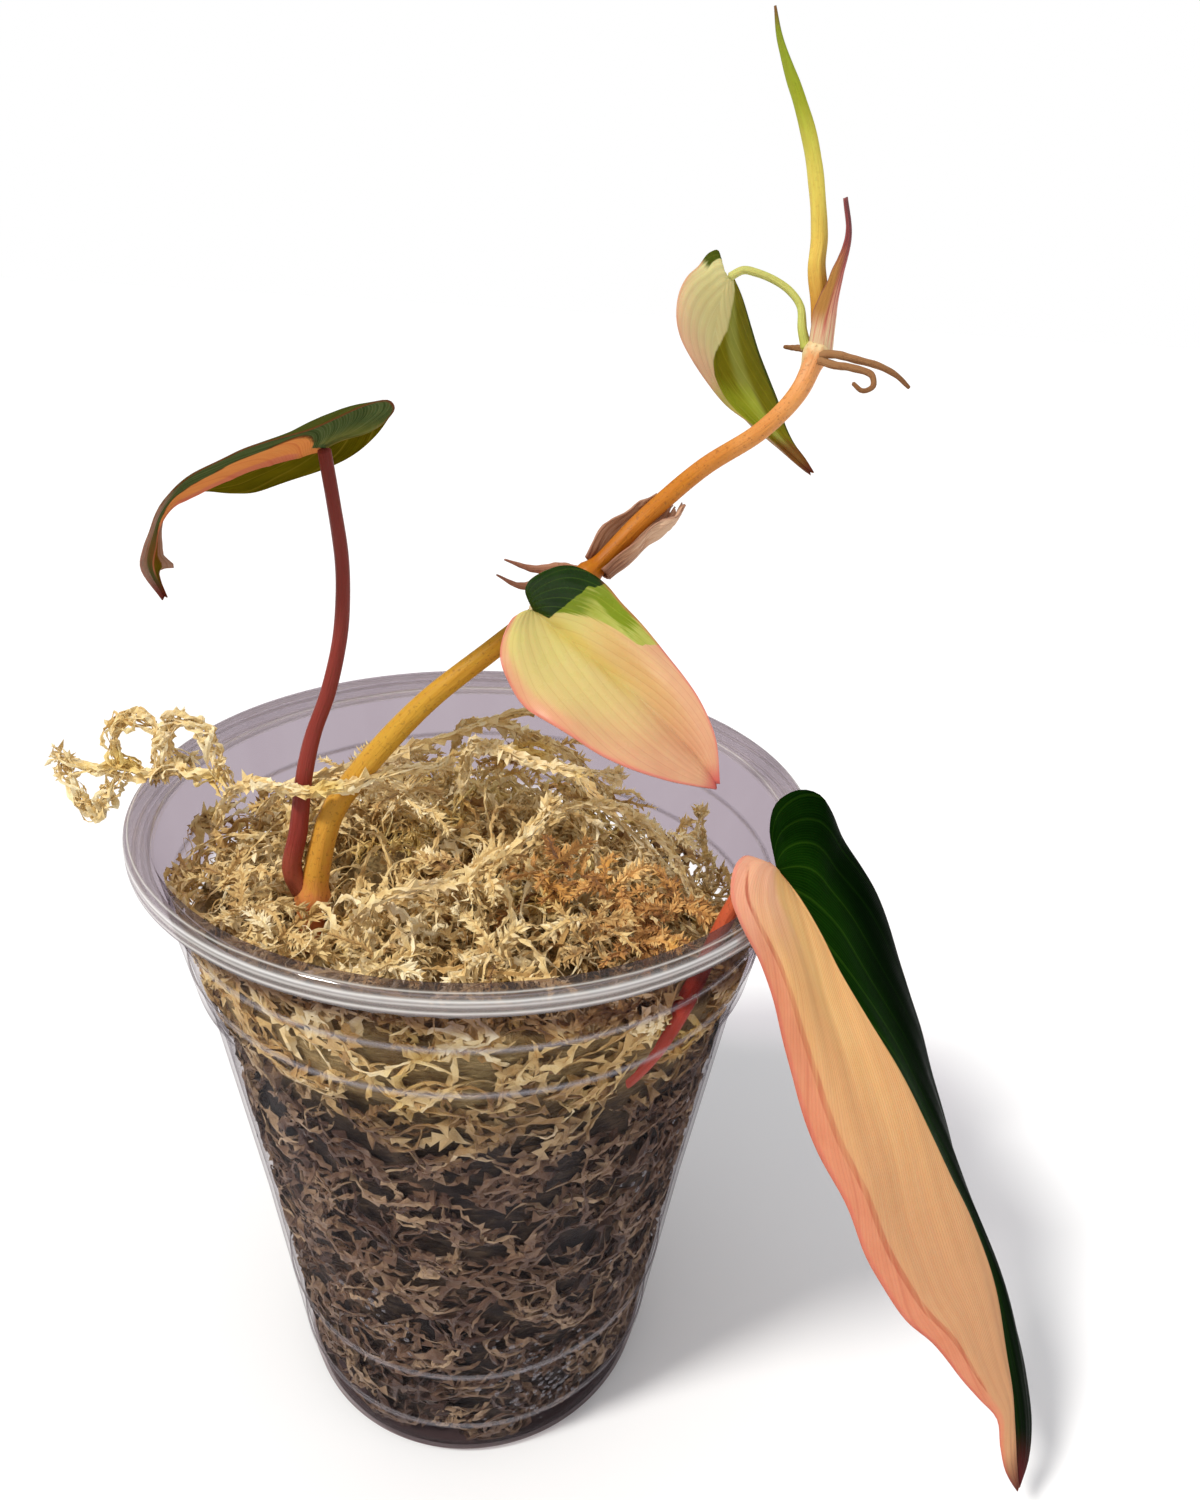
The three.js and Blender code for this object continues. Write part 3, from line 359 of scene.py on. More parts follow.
def make_piece(name, surface, material, replaces=(), smooth=True):
    """Blender mesh from points in millimetres, blocks of corner numbers and values per point, on the root."""
    points, faces, fields = surface
    mesh = bpy.data.meshes.new(name)
    corners = np.concatenate([block.ravel() for block in faces])
    sizes = np.concatenate([np.full(len(block), block.shape[1]) for block in faces])
    starts = np.concatenate([[0], np.cumsum(sizes)[:-1]])
    mesh.vertices.add(len(points))
    mesh.vertices.foreach_set("co", (points * MM).astype(np.float32).ravel())
    mesh.loops.add(len(corners))
    mesh.loops.foreach_set("vertex_index", corners.astype(np.int32))
    mesh.polygons.add(len(sizes))
    mesh.polygons.foreach_set("loop_start", starts.astype(np.int32))
    mesh.polygons.foreach_set("use_smooth", np.full(len(sizes), smooth))
    for key, values in fields.items():
        kind, member = ("FLOAT_VECTOR", "vector") if values.ndim == 2 else ("FLOAT", "value")
        attribute = mesh.attributes.new(key, kind, "POINT")
        attribute.data.foreach_set(member, values.astype(np.float32).ravel())
    mesh.update(calc_edges=True)
    mesh.materials.append(material)
    piece = bpy.data.objects.new(name, mesh)
    bpy.context.scene.collection.objects.link(piece)
    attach(piece, "root")
    if replaces:
        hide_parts(*replaces)
    return piece


# Shader building blocks

def rgb(red, green, blue):
    """Linear colour with full alpha from 0 to 255 display values."""
    shares = np.array([red, green, blue]) / 255
    linear = np.where(shares <= 0.04045, shares / 12.92, ((shares + 0.055) / 1.055) ** 2.4)
    return (*linear.tolist(), 1.0)


def in_metres(lengths):
    return [length * MM for length in lengths]


def feed(tree, socket, value):
    """Links an input to a socket, or sets it to a plain value."""
    if isinstance(value, bpy.types.NodeSocket):
        tree.links.new(value, socket)
    else:
        socket.default_value = value


def add(tree, kind, inputs=None, **settings):
    """New node with its settings and its inputs."""
    node = tree.nodes.new(kind)
    for key, value in settings.items():
        setattr(node, key, value)
    for key, value in (inputs or {}).items():
        feed(tree, node.inputs[key], value)
    return node


def maths(tree, operation, first, second=0.0, clamp=False):
    return add(tree, "ShaderNodeMath", {0: first, 1: second}, operation=operation, use_clamp=clamp).outputs[0]


def plus(tree, first, second, clamp=False):
    return maths(tree, "ADD", first, second, clamp)


def minus(tree, first, second):
    return maths(tree, "SUBTRACT", first, second)


def times(tree, first, second, clamp=False):
    return maths(tree, "MULTIPLY", first, second, clamp)


def raised(tree, base, extra, amount, clamp=False):
    """Base plus extra times amount."""
    return plus(tree, base, times(tree, extra, amount), clamp)


def centred(tree, noise_value):
    """A noise value moved to lie round 0."""
    return minus(tree, noise_value, 0.5)


def blend(tree, share, first, second, mode="MIX"):
    """Colour between first and second."""
    node = add(tree, "ShaderNodeMix", {0: share, 6: first, 7: second}, data_type="RGBA", blend_type=mode)
    return node.outputs[2]


def tinted(tree, share, colour, tint):
    """Colour multiplied by a tint as far as share says."""
    return blend(tree, share, colour, blend(tree, 1.0, colour, tint, "MULTIPLY"))


def remap(tree, value, low, high, new_low=0.0, new_high=1.0):
    """Value from low to high, smoothly as new_low to new_high."""
    inputs = {"Value": value, "From Min": low, "From Max": high, "To Min": new_low, "To Max": new_high}
    return add(tree, "ShaderNodeMapRange", inputs, interpolation_type="SMOOTHSTEP").outputs[0]


def noise(tree, vector, scale, detail=3.0, roughness=0.55, distortion=0.0):
    inputs = {"Vector": vector, "Scale": scale, "Detail": detail, "Roughness": roughness}
    return add(tree, "ShaderNodeTexNoise", {**inputs, "Distortion": distortion}).outputs[0]


def stretched(tree, vector, scales):
    """Vector with each part multiplied by its own scale."""
    return add(tree, "ShaderNodeMapping", {"Vector": vector, "Scale": scales}).outputs[0]


def streaky(tree, vector, scales, detail, roughness=0.55):
    """Noise drawn out by a scale for each direction."""
    return noise(tree, stretched(tree, vector, scales), 1.0, detail, roughness)


def parts_of(tree, vector):
    return add(tree, "ShaderNodeSeparateXYZ", {0: vector}).outputs


def field(tree, name, output="Fac"):
    """A value stored on the piece's points."""
    return add(tree, "ShaderNodeAttribute", attribute_name=name).outputs[output]


def ramp(tree, share, stops):
    """Colour ramp through stops of a place and a display colour, or a place and one plain value."""
    node = add(tree, "ShaderNodeValToRGB", {0: share})
    elements = node.color_ramp.elements
    while len(elements) < len(stops):
        elements.new(0.5)
    for element, (place, *colour) in zip(elements, stops):
        element.position = place
        element.color = rgb(*colour) if len(colour) == 3 else (*colour * 3, 1.0)
    return node.outputs[0]


def object_place(tree):
    return add(tree, "ShaderNodeTexCoord").outputs["Object"]


def bump(tree, height, distance, strength):
    """Normal of a surface raised by height times distance in metres."""
    inputs = {"Height": height, "Distance": distance, "Strength": strength}
    return add(tree, "ShaderNodeBump", inputs).outputs[0]


def new_group(name, inputs, outputs):
    """Empty node group; inputs are (name, socket kind, default value), and outputs are names of values."""
    tree = bpy.data.node_groups.new(name, "ShaderNodeTree")
    for label, kind, default in inputs:
        socket = tree.interface.new_socket(label, in_out="INPUT", socket_type=kind)
        if default is not None:
            socket.default_value = default
    for label in outputs:
        tree.interface.new_socket(label, in_out="OUTPUT", socket_type=FLOAT)
    return tree, tree.nodes.new("NodeGroupInput").outputs, tree.nodes.new("NodeGroupOutput").inputs


def use_group(tree, group, **inputs):
    """Outputs of a group placed in a tree, with an underscore for a space in an input's name."""
    node = tree.nodes.new("ShaderNodeGroup")
    node.node_tree = group
    for label, value in inputs.items():
        feed(tree, node.inputs[label.replace("_", " ")], value)
    return node.outputs


def new_material(name, **constants):
    """Material with a Principled shader; constants are its plain values by socket name."""
    material = bpy.data.materials.new(name)
    material.use_nodes = True
    shader = material.node_tree.nodes["Principled BSDF"]
    for label, value in constants.items():
        shader.inputs[label.replace("_", " ")].default_value = value
    return material, material.node_tree, shader


def drive(tree, shader, **sockets):
    """Links the shader's inputs to sockets by name."""
    for label, value in sockets.items():
        tree.links.new(value, shader.inputs[label.replace("_", " ")])


def see_through(tree, shader, cover, tint):
    """Film: the shader as far as cover says, and clear with a tint for the rest."""
    clear = add(tree, "ShaderNodeBsdfTransparent", {"Color": tint})
    film = add(tree, "ShaderNodeMixShader", {0: cover, 1: clear.outputs[0], 2: shader.outputs[0]})
    tree.links.new(film.outputs[0], tree.nodes["Material Output"].inputs["Surface"])


# Effects that several finishes share, each a node group built once

FLOAT, VECTOR = "NodeSocketFloat", "NodeSocketVector"
FINE_SCALE = 4.7
BROAD_SHARE = 0.65
MOTTLE_GAIN = 2.6
TEAR_STRETCH = (26.0, 2.2, 0.0)
VEIN_WANDER = 0.03
WANDER_STRETCH = (3.0, 2.0, 0.0)
VEIN_HALF = 0.09
FINE_VEIN_HALF = 0.3


def mottle_group():
    """Mottle: a broad and a fine noise mixed, pushed apart by contrast."""
    inputs = [("Vector", VECTOR, None), ("Scale", FLOAT, 100.0), ("Contrast", FLOAT, 1.0)]
    tree, given, result = new_group("mottle", inputs, ["Value"])
    broad = noise(tree, given["Vector"], given["Scale"], 2.0)
    fine = noise(tree, given["Vector"], times(tree, given["Scale"], FINE_SCALE), 3.0)
    mixed = plus(tree, times(tree, broad, BROAD_SHARE), times(tree, fine, 1 - BROAD_SHARE))
    pushed = times(tree, centred(tree, mixed), given["Contrast"])
    tree.links.new(plus(tree, times(tree, pushed, MOTTLE_GAIN), 0.5, clamp=True), result["Value"])
    return tree


def streak_group():
    """Streaks along a stalk: noise on the seamless skin coordinates, drawn out along the length."""
    inputs = [("Skin", VECTOR, None), ("Around", FLOAT, 3.0), ("Length", FLOAT, 0.12)]
    tree, given, result = new_group("stalk streaks", inputs, ["Value"])
    parts = parts_of(tree, given["Skin"])
    scales = ("Around", "Around", "Length")
    scaled = add(tree, "ShaderNodeCombineXYZ", {
        axis: times(tree, parts[axis], given[scale]) for axis, scale in enumerate(scales)
    }).outputs[0]
    tree.links.new(remap(tree, noise(tree, scaled, 1.0, 4.0, 0.6), 0.3, 0.7), result["Value"])
    return tree


def zone_group():
    """Ragged zone: a field above 0 counts as inside; noise drawn out along the veins tears its edge."""
    inputs = [("Field", FLOAT, 0.0), ("Flow", VECTOR, None), ("Tear", FLOAT, 0.15), ("Soft", FLOAT, 0.02)]
    tree, given, result = new_group("ragged zone", inputs, ["Mask"])
    coarse = streaky(tree, given["Flow"], TEAR_STRETCH, 3.0, 0.6)
    moved = raised(tree, given["Field"], centred(tree, coarse), given["Tear"])
    scaled = maths(tree, "DIVIDE", moved, given["Soft"])
    tree.links.new(remap(tree, scaled, -1.0, 1.0), result["Mask"])
    return tree


def vein_group():
    """Veins: the flow's first part is constant along a side vein, so its lines are veins, coarse and fine."""
    inputs = [("Flow", VECTOR, None), ("Count", FLOAT, 9.0), ("Fine Count", FLOAT, 60.0)]
    tree, given, result = new_group("leaf veins", inputs, ["Main", "Fine", "Pucker"])
    parts = parts_of(tree, given["Flow"])
    wander = times(tree, streaky(tree, given["Flow"], WANDER_STRETCH, 2.0), VEIN_WANDER)
    place = plus(tree, parts[0], wander)
    main_turn = maths(tree, "PINGPONG", times(tree, place, given["Count"]), 0.5)
    fine_turn = maths(tree, "PINGPONG", times(tree, place, given["Fine Count"]), 0.5)
    tree.links.new(remap(tree, main_turn, 0.0, VEIN_HALF, 1.0, 0.0), result["Main"])
    tree.links.new(remap(tree, fine_turn, 0.0, FINE_VEIN_HALF, 1.0, 0.0), result["Fine"])
    tree.links.new(remap(tree, main_turn, 0.0, 0.5), result["Pucker"])
    return tree


MOTTLE = mottle_group()
STREAKS = streak_group()
ZONE = zone_group()
VEINS = vein_group()


def mottling(tree, place, scale, contrast):
    return use_group(tree, MOTTLE, Vector=place, Scale=scale, Contrast=contrast)["Value"]


# Finish of the cup and its drops. Scales of noise are per metre.

SMEAR_SCALES = (60.0, 60.0, 14.0)
FLECK_SCALES = (90.0, 90.0, 700.0)
BEAD_SPAN = 6.6
BEAD_FOOT = (105.9, 106.3)
RING_LINE_WIDTHS = (0.1, 0.6)
RING_LINE_COVER = 0.3
# Heights over which the painted dark reflection at the foot fades out
FOOT_PAINTED_REFLECTION = (1.8, 3.6)
HAZE_START = (87.5, 90.5)
HAZE_TILT_RIGHT = 0.08
HAZE_TILT_FRONT = 0.28
# Bead stripes by share of the way across it: the white lines are painted highlights and the grey lines
# painted reflections, with how much each covers and its tone
BEAD_HIGHLIGHT_COVER = [
    (0.0, 0.25), (0.05, 0.65), (0.1, 0.1), (0.3, 0.08), (0.36, 0.55), (0.4, 0.12), (0.5, 0.2), (0.57, 0.65),
    (0.62, 0.25), (0.66, 0.5), (0.71, 0.15), (0.8, 0.6), (0.85, 0.2), (0.95, 0.35), (1.0, 0.4),
]
BEAD_HIGHLIGHT_TONES = [
    (0.0, 190, 182, 180), (0.05, 255, 253, 248), (0.1, 150, 140, 134),
    (0.33, 170, 160, 150), (0.37, 255, 252, 244), (0.42, 160, 148, 138),
    (0.58, 255, 254, 250), (0.7, 232, 226, 218), (0.75, 150, 140, 132),
    (0.8, 250, 246, 240), (0.88, 150, 140, 136), (1.0, 196, 190, 188),
]


def across_bead(tree, parts, flecks):
    """Share of the way over the bead, from its inner foot (0) to its outer one (1), jittered by flecks."""
    squares = plus(tree, maths(tree, "POWER", parts[0], 2.0), maths(tree, "POWER", parts[1], 2.0))
    radius = maths(tree, "SQRT", squares)
    way = plus(tree, minus(tree, radius, RIM_INSIDE * MM), minus(tree, CUP_HEIGHT * MM, parts[2]))
    return raised(tree, maths(tree, "DIVIDE", way, BEAD_SPAN * MM), centred(tree, flecks), 0.05)


def cup_plastic():
    """Thin clear plastic: greyer above the moss, with ring lines; greyer at a slant as painted shade along
    its outline, a bead striped with painted highlights and painted reflections, and a painted dark reflection
    at the foot.
    """
    material, tree, shader = new_material(
        "clear_cup_plastic", Roughness=0.07, IOR=1.9, Specular_IOR_Level=1.0
    )
    place = object_place(tree)
    parts = parts_of(tree, place)
    height = parts[2]
    smears = streaky(tree, place, SMEAR_SCALES, 4.0, 0.6)
    flecks = streaky(tree, place, FLECK_SCALES, 3.0, 0.7)
    across = across_bead(tree, parts, flecks)
    bead = remap(tree, height, *in_metres(BEAD_FOOT))
    # Painted highlight and reflection lines of the bead
    highlight_cover = ramp(tree, across, BEAD_HIGHLIGHT_COVER)
    tones = ramp(tree, across, BEAD_HIGHLIGHT_TONES)
    lines = 0.0
    for ring in RING_LINES:
        off = maths(tree, "ABSOLUTE", minus(tree, height, ring * MM))
        line = remap(tree, off, *in_metres(RING_LINE_WIDTHS), RING_LINE_COVER, 0.0)
        lines = maths(tree, "MAXIMUM", lines, line)
    haze = maths(tree, "MAXIMUM", lines, remap(tree, smears, 0.5, 0.85, 0.006, 0.03))
    slant = add(tree, "ShaderNodeLayerWeight", {"Blend": 0.2}).outputs["Facing"]
    edge = maths(tree, "POWER", slant, 3.0)
    haze = raised(tree, haze, edge, 0.1, clamp=True)
    cover = raised(tree, haze, bead, highlight_cover, clamp=True)
    tone = blend(tree, bead, blend(tree, smears, rgb(126, 118, 128), rgb(176, 168, 176)), tones)
    drive(tree, shader, Base_Color=tone)
    level = raised(tree, height, maths(tree, "MINIMUM", parts[1], 0.0), HAZE_TILT_FRONT)
    level = raised(tree, level, parts[0], HAZE_TILT_RIGHT)
    above_moss = remap(tree, level, *in_metres(HAZE_START))
    misted = blend(tree, smears, rgb(204, 196, 202), rgb(214, 208, 213))
    tint = blend(tree, above_moss, rgb(250, 249, 249), misted)
    # Painted shade: the see-through tint greys towards the slanted outline
    tint = blend(tree, times(tree, edge, 0.9, clamp=True), tint, rgb(140, 132, 138))
    # Painted reflection: the tint darkens at the foot, standing in for the dark moss reflected there
    tint = blend(tree, remap(tree, height, *in_metres(FOOT_PAINTED_REFLECTION), 1.0, 0.0), tint, rgb(196, 186, 186))
    see_through(tree, shader, cover, tint)
    return material


def droplet_water():
    """Condensed water: clear in the middle, with a painted dark rim round its foot where a real drop bends
    the light away, and a bright point of gloss.
    """
    material, tree, shader = new_material("condensed_water", Roughness=0.05, IOR=2.0, Specular_IOR_Level=1.0)
    slant = add(tree, "ShaderNodeLayerWeight", {"Blend": 0.5}).outputs["Facing"]
    cover = remap(tree, slant, 0.15, 0.8, 0.12, 0.55)
    spots = noise(tree, object_place(tree), 900.0)
    # Painted shade: the dark base colour shows as a dark rim where the cover rises at the slant
    drive(tree, shader, Base_Color=blend(tree, spots, rgb(70, 62, 66), rgb(150, 146, 154)))
    see_through(tree, shader, cover, (0.96, 0.96, 0.98, 1.0))
    return material


# Finishes of the moss

STRAW_STOPS = [
    (0.0, 70, 36, 12), (0.18, 132, 92, 44), (0.42, 196, 156, 92),
    (0.68, 232, 204, 142), (1.0, 255, 242, 204),
]
DAMP_STOPS = [
    (0.0, 22, 6, 8), (0.25, 66, 40, 30), (0.55, 118, 88, 66), (1.0, 196, 168, 132),
]
RUSSET_STOPS = [
    (0.0, 84, 46, 18), (0.35, 160, 108, 50), (0.7, 212, 158, 86), (1.0, 240, 202, 132),
]
CORE_LOW_STOPS = [(0.12, 10, 4, 6), (0.36, 46, 30, 26), (0.7, 104, 82, 62)]
CORE_HIGH_STOPS = [(0.1, 96, 66, 34), (0.36, 168, 136, 84), (0.7, 214, 186, 128)]
DAMP_LINE = (72, 92)
DAMP_WOBBLE = 20
DARK_DEPTH = (0, 70)
CORE_DAMP_LINE = (74, 90)
CORE_FIBRE_STRETCH = (1.0, 1.0, 3.2)


def dried_moss(name, stops, low_stops=None):
    """Dried moss: a tint for each strand, leaflets paler to their tips, and low strands damp and dark."""
    material, tree, shader = new_material(name, Roughness=0.82, Sheen_Weight=0.12, Sheen_Roughness=0.5)
    place = object_place(tree)
    patches = mottling(tree, place, 55.0, 0.8)
    flecks = mottling(tree, place, 900.0, 0.7)
    tint = times(tree, field(tree, "tint"), 0.62)
    tint = raised(tree, tint, patches, 0.18)
    tint = raised(tree, tint, flecks, 0.16)
    tint = raised(tree, tint, field(tree, "pale"), 0.14, clamp=True)
    colour = ramp(tree, tint, stops)
    hues = noise(tree, place, 75.0, 2.0)
    colour = tinted(tree, remap(tree, hues, 0.54, 0.7, 0.0, 0.75), colour, rgb(246, 236, 168))
    colour = tinted(tree, remap(tree, hues, 0.3, 0.44, 0.6, 0.0), colour, rgb(214, 200, 196))
    if low_stops:
        wobbly = raised(tree, parts_of(tree, place)[2], centred(tree, patches), DAMP_WOBBLE * MM)
        low = ramp(tree, tint, low_stops)
        colour = blend(tree, remap(tree, wobbly, *in_metres(DAMP_LINE)), low, colour)
        deep = remap(tree, wobbly, *in_metres(DARK_DEPTH), 0.82, 1.0)
        grey = add(tree, "ShaderNodeCombineColor", {0: deep, 1: deep, 2: deep}).outputs[0]
        colour = blend(tree, 1.0, colour, grey, "MULTIPLY")
    drive(tree, shader, Base_Color=colour, Normal=bump(tree, flecks, 0.0003, 0.6))
    return material


def packed_moss():
    """Packed moss behind the strands: fibres, dark and damp low down and straw-coloured above."""
    material, tree, shader = new_material("packed_moss", Roughness=0.95)
    place = object_place(tree)
    fibres = noise(tree, stretched(tree, place, CORE_FIBRE_STRETCH), 420.0, 5.0, 0.7, 1.4)
    clumps = mottling(tree, place, 90.0, 1.2)
    share = times(tree, fibres, plus(tree, clumps, 0.35), clamp=True)
    low = ramp(tree, share, CORE_LOW_STOPS)
    high = ramp(tree, share, CORE_HIGH_STOPS)
    dry = remap(tree, parts_of(tree, place)[2], *in_metres(CORE_DAMP_LINE))
    drive(tree, shader, Base_Color=blend(tree, dry, low, high), Normal=bump(tree, fibres, 0.002, 1.0))
    return material


# Finishes of stalks, sheaths and leaves

CORKY_SPECK = rgb(110, 60, 30)
STREAK_TINT = rgb(226, 170, 130)
HIDDEN_TINT = rgb(240, 214, 200)
PAPER_STREAKS = (1.4, 9.0, 0.0)
PAPER_FIBRES = (3.0, 46.0, 0.0)
LEAF_STREAKS = (30.0, 1.4, 0.0)
VEIN_COUNT = 7
FINE_VEIN_COUNT = 64
PALE_VEINS = (("Fine", 0.26), ("Main", 0.12))
ZONE_VEINS = (("Main", 0.42), ("Fine", 0.14))


def stalk_finish(name, stops, roughness=0.42, speck_share=0.35, gloss=0.08):
    """Living stem or stalk: a colour course along it, fine streaks, small corky specks and a soft gloss."""
    material, tree, shader = new_material(
        name, Roughness=roughness, Specular_IOR_Level=0.15, Subsurface_Weight=0.05, Subsurface_Scale=0.0012,
        Coat_Weight=gloss, Coat_Roughness=0.35,
    )
    place = object_place(tree)
    streaks = use_group(tree, STREAKS, Skin=field(tree, "skin", "Vector"), Around=2.4, Length=0.16)["Value"]
    mottled = mottling(tree, place, 260.0, 0.9)
    way = raised(tree, field(tree, "along"), centred(tree, mottled), 0.05)
    colour = tinted(tree, times(tree, streaks, 0.22), ramp(tree, way, stops), STREAK_TINT)
    specks = remap(tree, noise(tree, place, 2200.0, 2.0), 0.58, 0.68)
    colour = blend(tree, times(tree, specks, speck_share), colour, CORKY_SPECK)
    drive(tree, shader, Base_Color=colour, Normal=bump(tree, streaks, 0.00012, 0.7))
    drive(tree, shader, Roughness=remap(tree, mottled, 0.0, 1.0, roughness - 0.07, roughness + 0.1))
    return material


def papery_finish(name, stops, edge, stain=None):
    """Dry or fading sheath: long streaks between its colours, a stain low on its left, a darker torn edge."""
    material, tree, shader = new_material(name, Roughness=0.6, Sheen_Weight=0.1)
    flow = field(tree, "flow", "Vector")
    streaks = streaky(tree, flow, PAPER_STREAKS, 4.0, 0.65)
    fibres = streaky(tree, flow, PAPER_FIBRES, 2.0, 0.6)
    grain = plus(tree, times(tree, streaks, 0.8), times(tree, fibres, 0.35))
    grain = times(tree, minus(tree, grain, 0.57), 2.2)
    colour = ramp(tree, plus(tree, grain, field(tree, "along"), clamp=True), stops)
    if stain:
        place = parts_of(tree, flow)
        left = remap(tree, raised(tree, place[1], streaks, 0.3), -0.45, -0.1, 1.0, 0.0)
        low = times(tree, remap(tree, place[0], 0.12, 0.3), remap(tree, place[0], 0.5, 0.75, 1.0, 0.0))
        colour = blend(tree, times(tree, left, low), colour, stain)
    colour = blend(tree, remap(tree, field(tree, "rim"), 0.0, 0.5, 0.75, 0.0), colour, edge)
    drive(tree, shader, Base_Color=colour, Normal=bump(tree, fibres, 0.00015, 0.8))
    return material


def veined(tree, colour, veins, vein, shares):
    """Colour with each kind of vein laid over it by its own share."""
    for kind, share in shares:
        colour = blend(tree, times(tree, veins[kind], share), colour, vein)
    return colour


def leaf_finish(
    name, pale, layers, pale_vein, rim, tip, other, gloss, shine=0.05, relief=0.4, drawn_out=0.7,
    other_side="under",
):
    """Variegated leaf: pale ground and margin, layers where the blade's values are above 0, and the tip.

    Each layer holds its field, two tones that mottling mixes, the tone of its veins, how far noise tears
    its edge, how soft that edge is and how much it covers. other tints the face that the layers weren't
    drawn for, and other_side says which that is."""
    material, tree, shader = new_material(
        name, Roughness=gloss, Subsurface_Weight=0.12, Subsurface_Scale=0.0008, Specular_IOR_Level=shine
    )
    flow = field(tree, "flow", "Vector")
    mottled = mottling(tree, object_place(tree), 130.0, 1.0)
    drawn = remap(tree, streaky(tree, flow, LEAF_STREAKS, 3.0, 0.6), 0.3, 0.7)
    drawn = plus(tree, times(tree, drawn, drawn_out), times(tree, mottled, 1.0 - drawn_out))
    veins = use_group(tree, VEINS, Flow=flow, Count=float(VEIN_COUNT), Fine_Count=float(FINE_VEIN_COUNT))
    colour = blend(tree, drawn, *(rgb(*tone) for tone in pale))
    colour = veined(tree, colour, veins, rgb(*pale_vein), PALE_VEINS)
    colour = blend(tree, remap(tree, field(tree, "rim"), 0.1, 0.5, 0.85, 0.0), colour, rgb(*rim))
    for label, first, second, vein, tear, soft, cover in layers:
        mask = use_group(tree, ZONE, Field=field(tree, label), Flow=flow, Tear=tear, Soft=soft)["Mask"]
        mix = plus(tree, times(tree, mottled, 0.5), times(tree, drawn, 0.5))
        tone = veined(tree, blend(tree, mix, rgb(*first), rgb(*second)), veins, rgb(*vein), ZONE_VEINS)
        colour = blend(tree, times(tree, mask, cover), colour, tone)
    colour = blend(tree, remap(tree, field(tree, "along"), 0.94, 1.0, 0.0, 0.9), colour, rgb(*tip))
    hidden = blend(tree, 0.55, blend(tree, 1.0, colour, HIDDEN_TINT, "MULTIPLY"), rgb(*other))
    colour = blend(tree, field(tree, other_side), colour, hidden)
    height = plus(tree, times(tree, veins["Fine"], -0.25), veins["Pucker"])
    drive(tree, shader, Base_Color=colour, Normal=bump(tree, height, 0.00022, relief))
    drive(tree, shader, Roughness=remap(tree, mottled, 0.0, 1.0, gloss - 0.05, gloss + 0.1))
    return material


# Cup

CUP_SIDES = 240
RING_LINE_POINTS = np.array([-0.9, -0.45, 0, 0.45, 0.9])
RING_LINE_SPREAD = 0.4
UNDERSIDE = np.array([[0, 1.6], [20, 1.5], [27, 0.4], [28.6, 0]])
INSIDE_HEIGHTS = np.array([CUP_HEIGHT - BEAD_HEIGHT, 98.5, 90.5, 86.5, 84, 65, 45, 25, 8, FLOOR + 0.8])
FLOOR_INSIDE = np.array([[29.6, FLOOR + 0.3], [28, FLOOR + 0.5], [20, 2.4], [0, 2.6]])
# Arcs of the bead: how far in from the rim's edge and down from its top the centre lies, its radius, the
# angles that it runs between in degrees, and its points
BEAD_ARCS = [
    (0.7, BEAD_HEIGHT - 1.0, 0.7, -80, 0, 5),
    (1.2, 1.2, 1.2, 5, 90, 7),
    (BEAD_REACH - 0.9, 1.0, 0.9, 95, 180, 6),
]
RIBS = 90
RIB_ROWS = 4
RIB_ROW_TURN = 1.75
RIB_DEPTH = 0.3
RIB_LIFT = 0.8
RIB_HALF_HEIGHT = 0.9
RIBS_FROM_RADIUS = 47
DROPLET_CLUSTERS = [
    (-74, 22, 9, 7, 90), (-66, 14, 6, 4, 40), (-115, 34, 6, 5, 30), (-40, 60, 12, 10, 30),
    (60, 40, 40, 20, 60),
]
DROPLET_HEIGHTS = (6, 84)
DROPLET_SIZES = (0.2, 0.5)
DROPLET_VARIATION = (0.6, 1.3)
DROPLET_DEPTHS = (0.0, 0.18, 0.32)
DROPLET_RADII = np.array([1.0, 0.85, 0.5])


def wall_radius(height):
    """Outside radius of the wall, straight between the points of its profile."""
    return np.interp(height, WALL_PROFILE[:, 0], WALL_PROFILE[:, 1])


def inner_radius(height):
    return wall_radius(height) - MOSS_WALL


def on_turn(reach, turn, height):
    """Points at a reach from the axis, a turn round it and a height."""
    return np.stack(np.broadcast_arrays(reach * np.cos(turn), reach * np.sin(turn), height), axis=-1)


def arc(centre, radius, start, stop, steps):
    """Points (radius from the axis, height) on an arc, from start to stop degrees."""
    turn = np.radians(np.linspace(start, stop, steps))
    return np.stack([centre[0] + radius * np.cos(turn), centre[1] + radius * np.sin(turn)], axis=1)


def closed_rings(rings, foot_height, top_height):
    """Rings of points round the axis, closed by one point on the axis at either end."""
    ends = np.array([[0, 0, foot_height], [0, 0, top_height]])
    return np.concatenate([rings.reshape(-1, 3), ends]), wrapped_faces(1, *rings.shape[:2]), {}


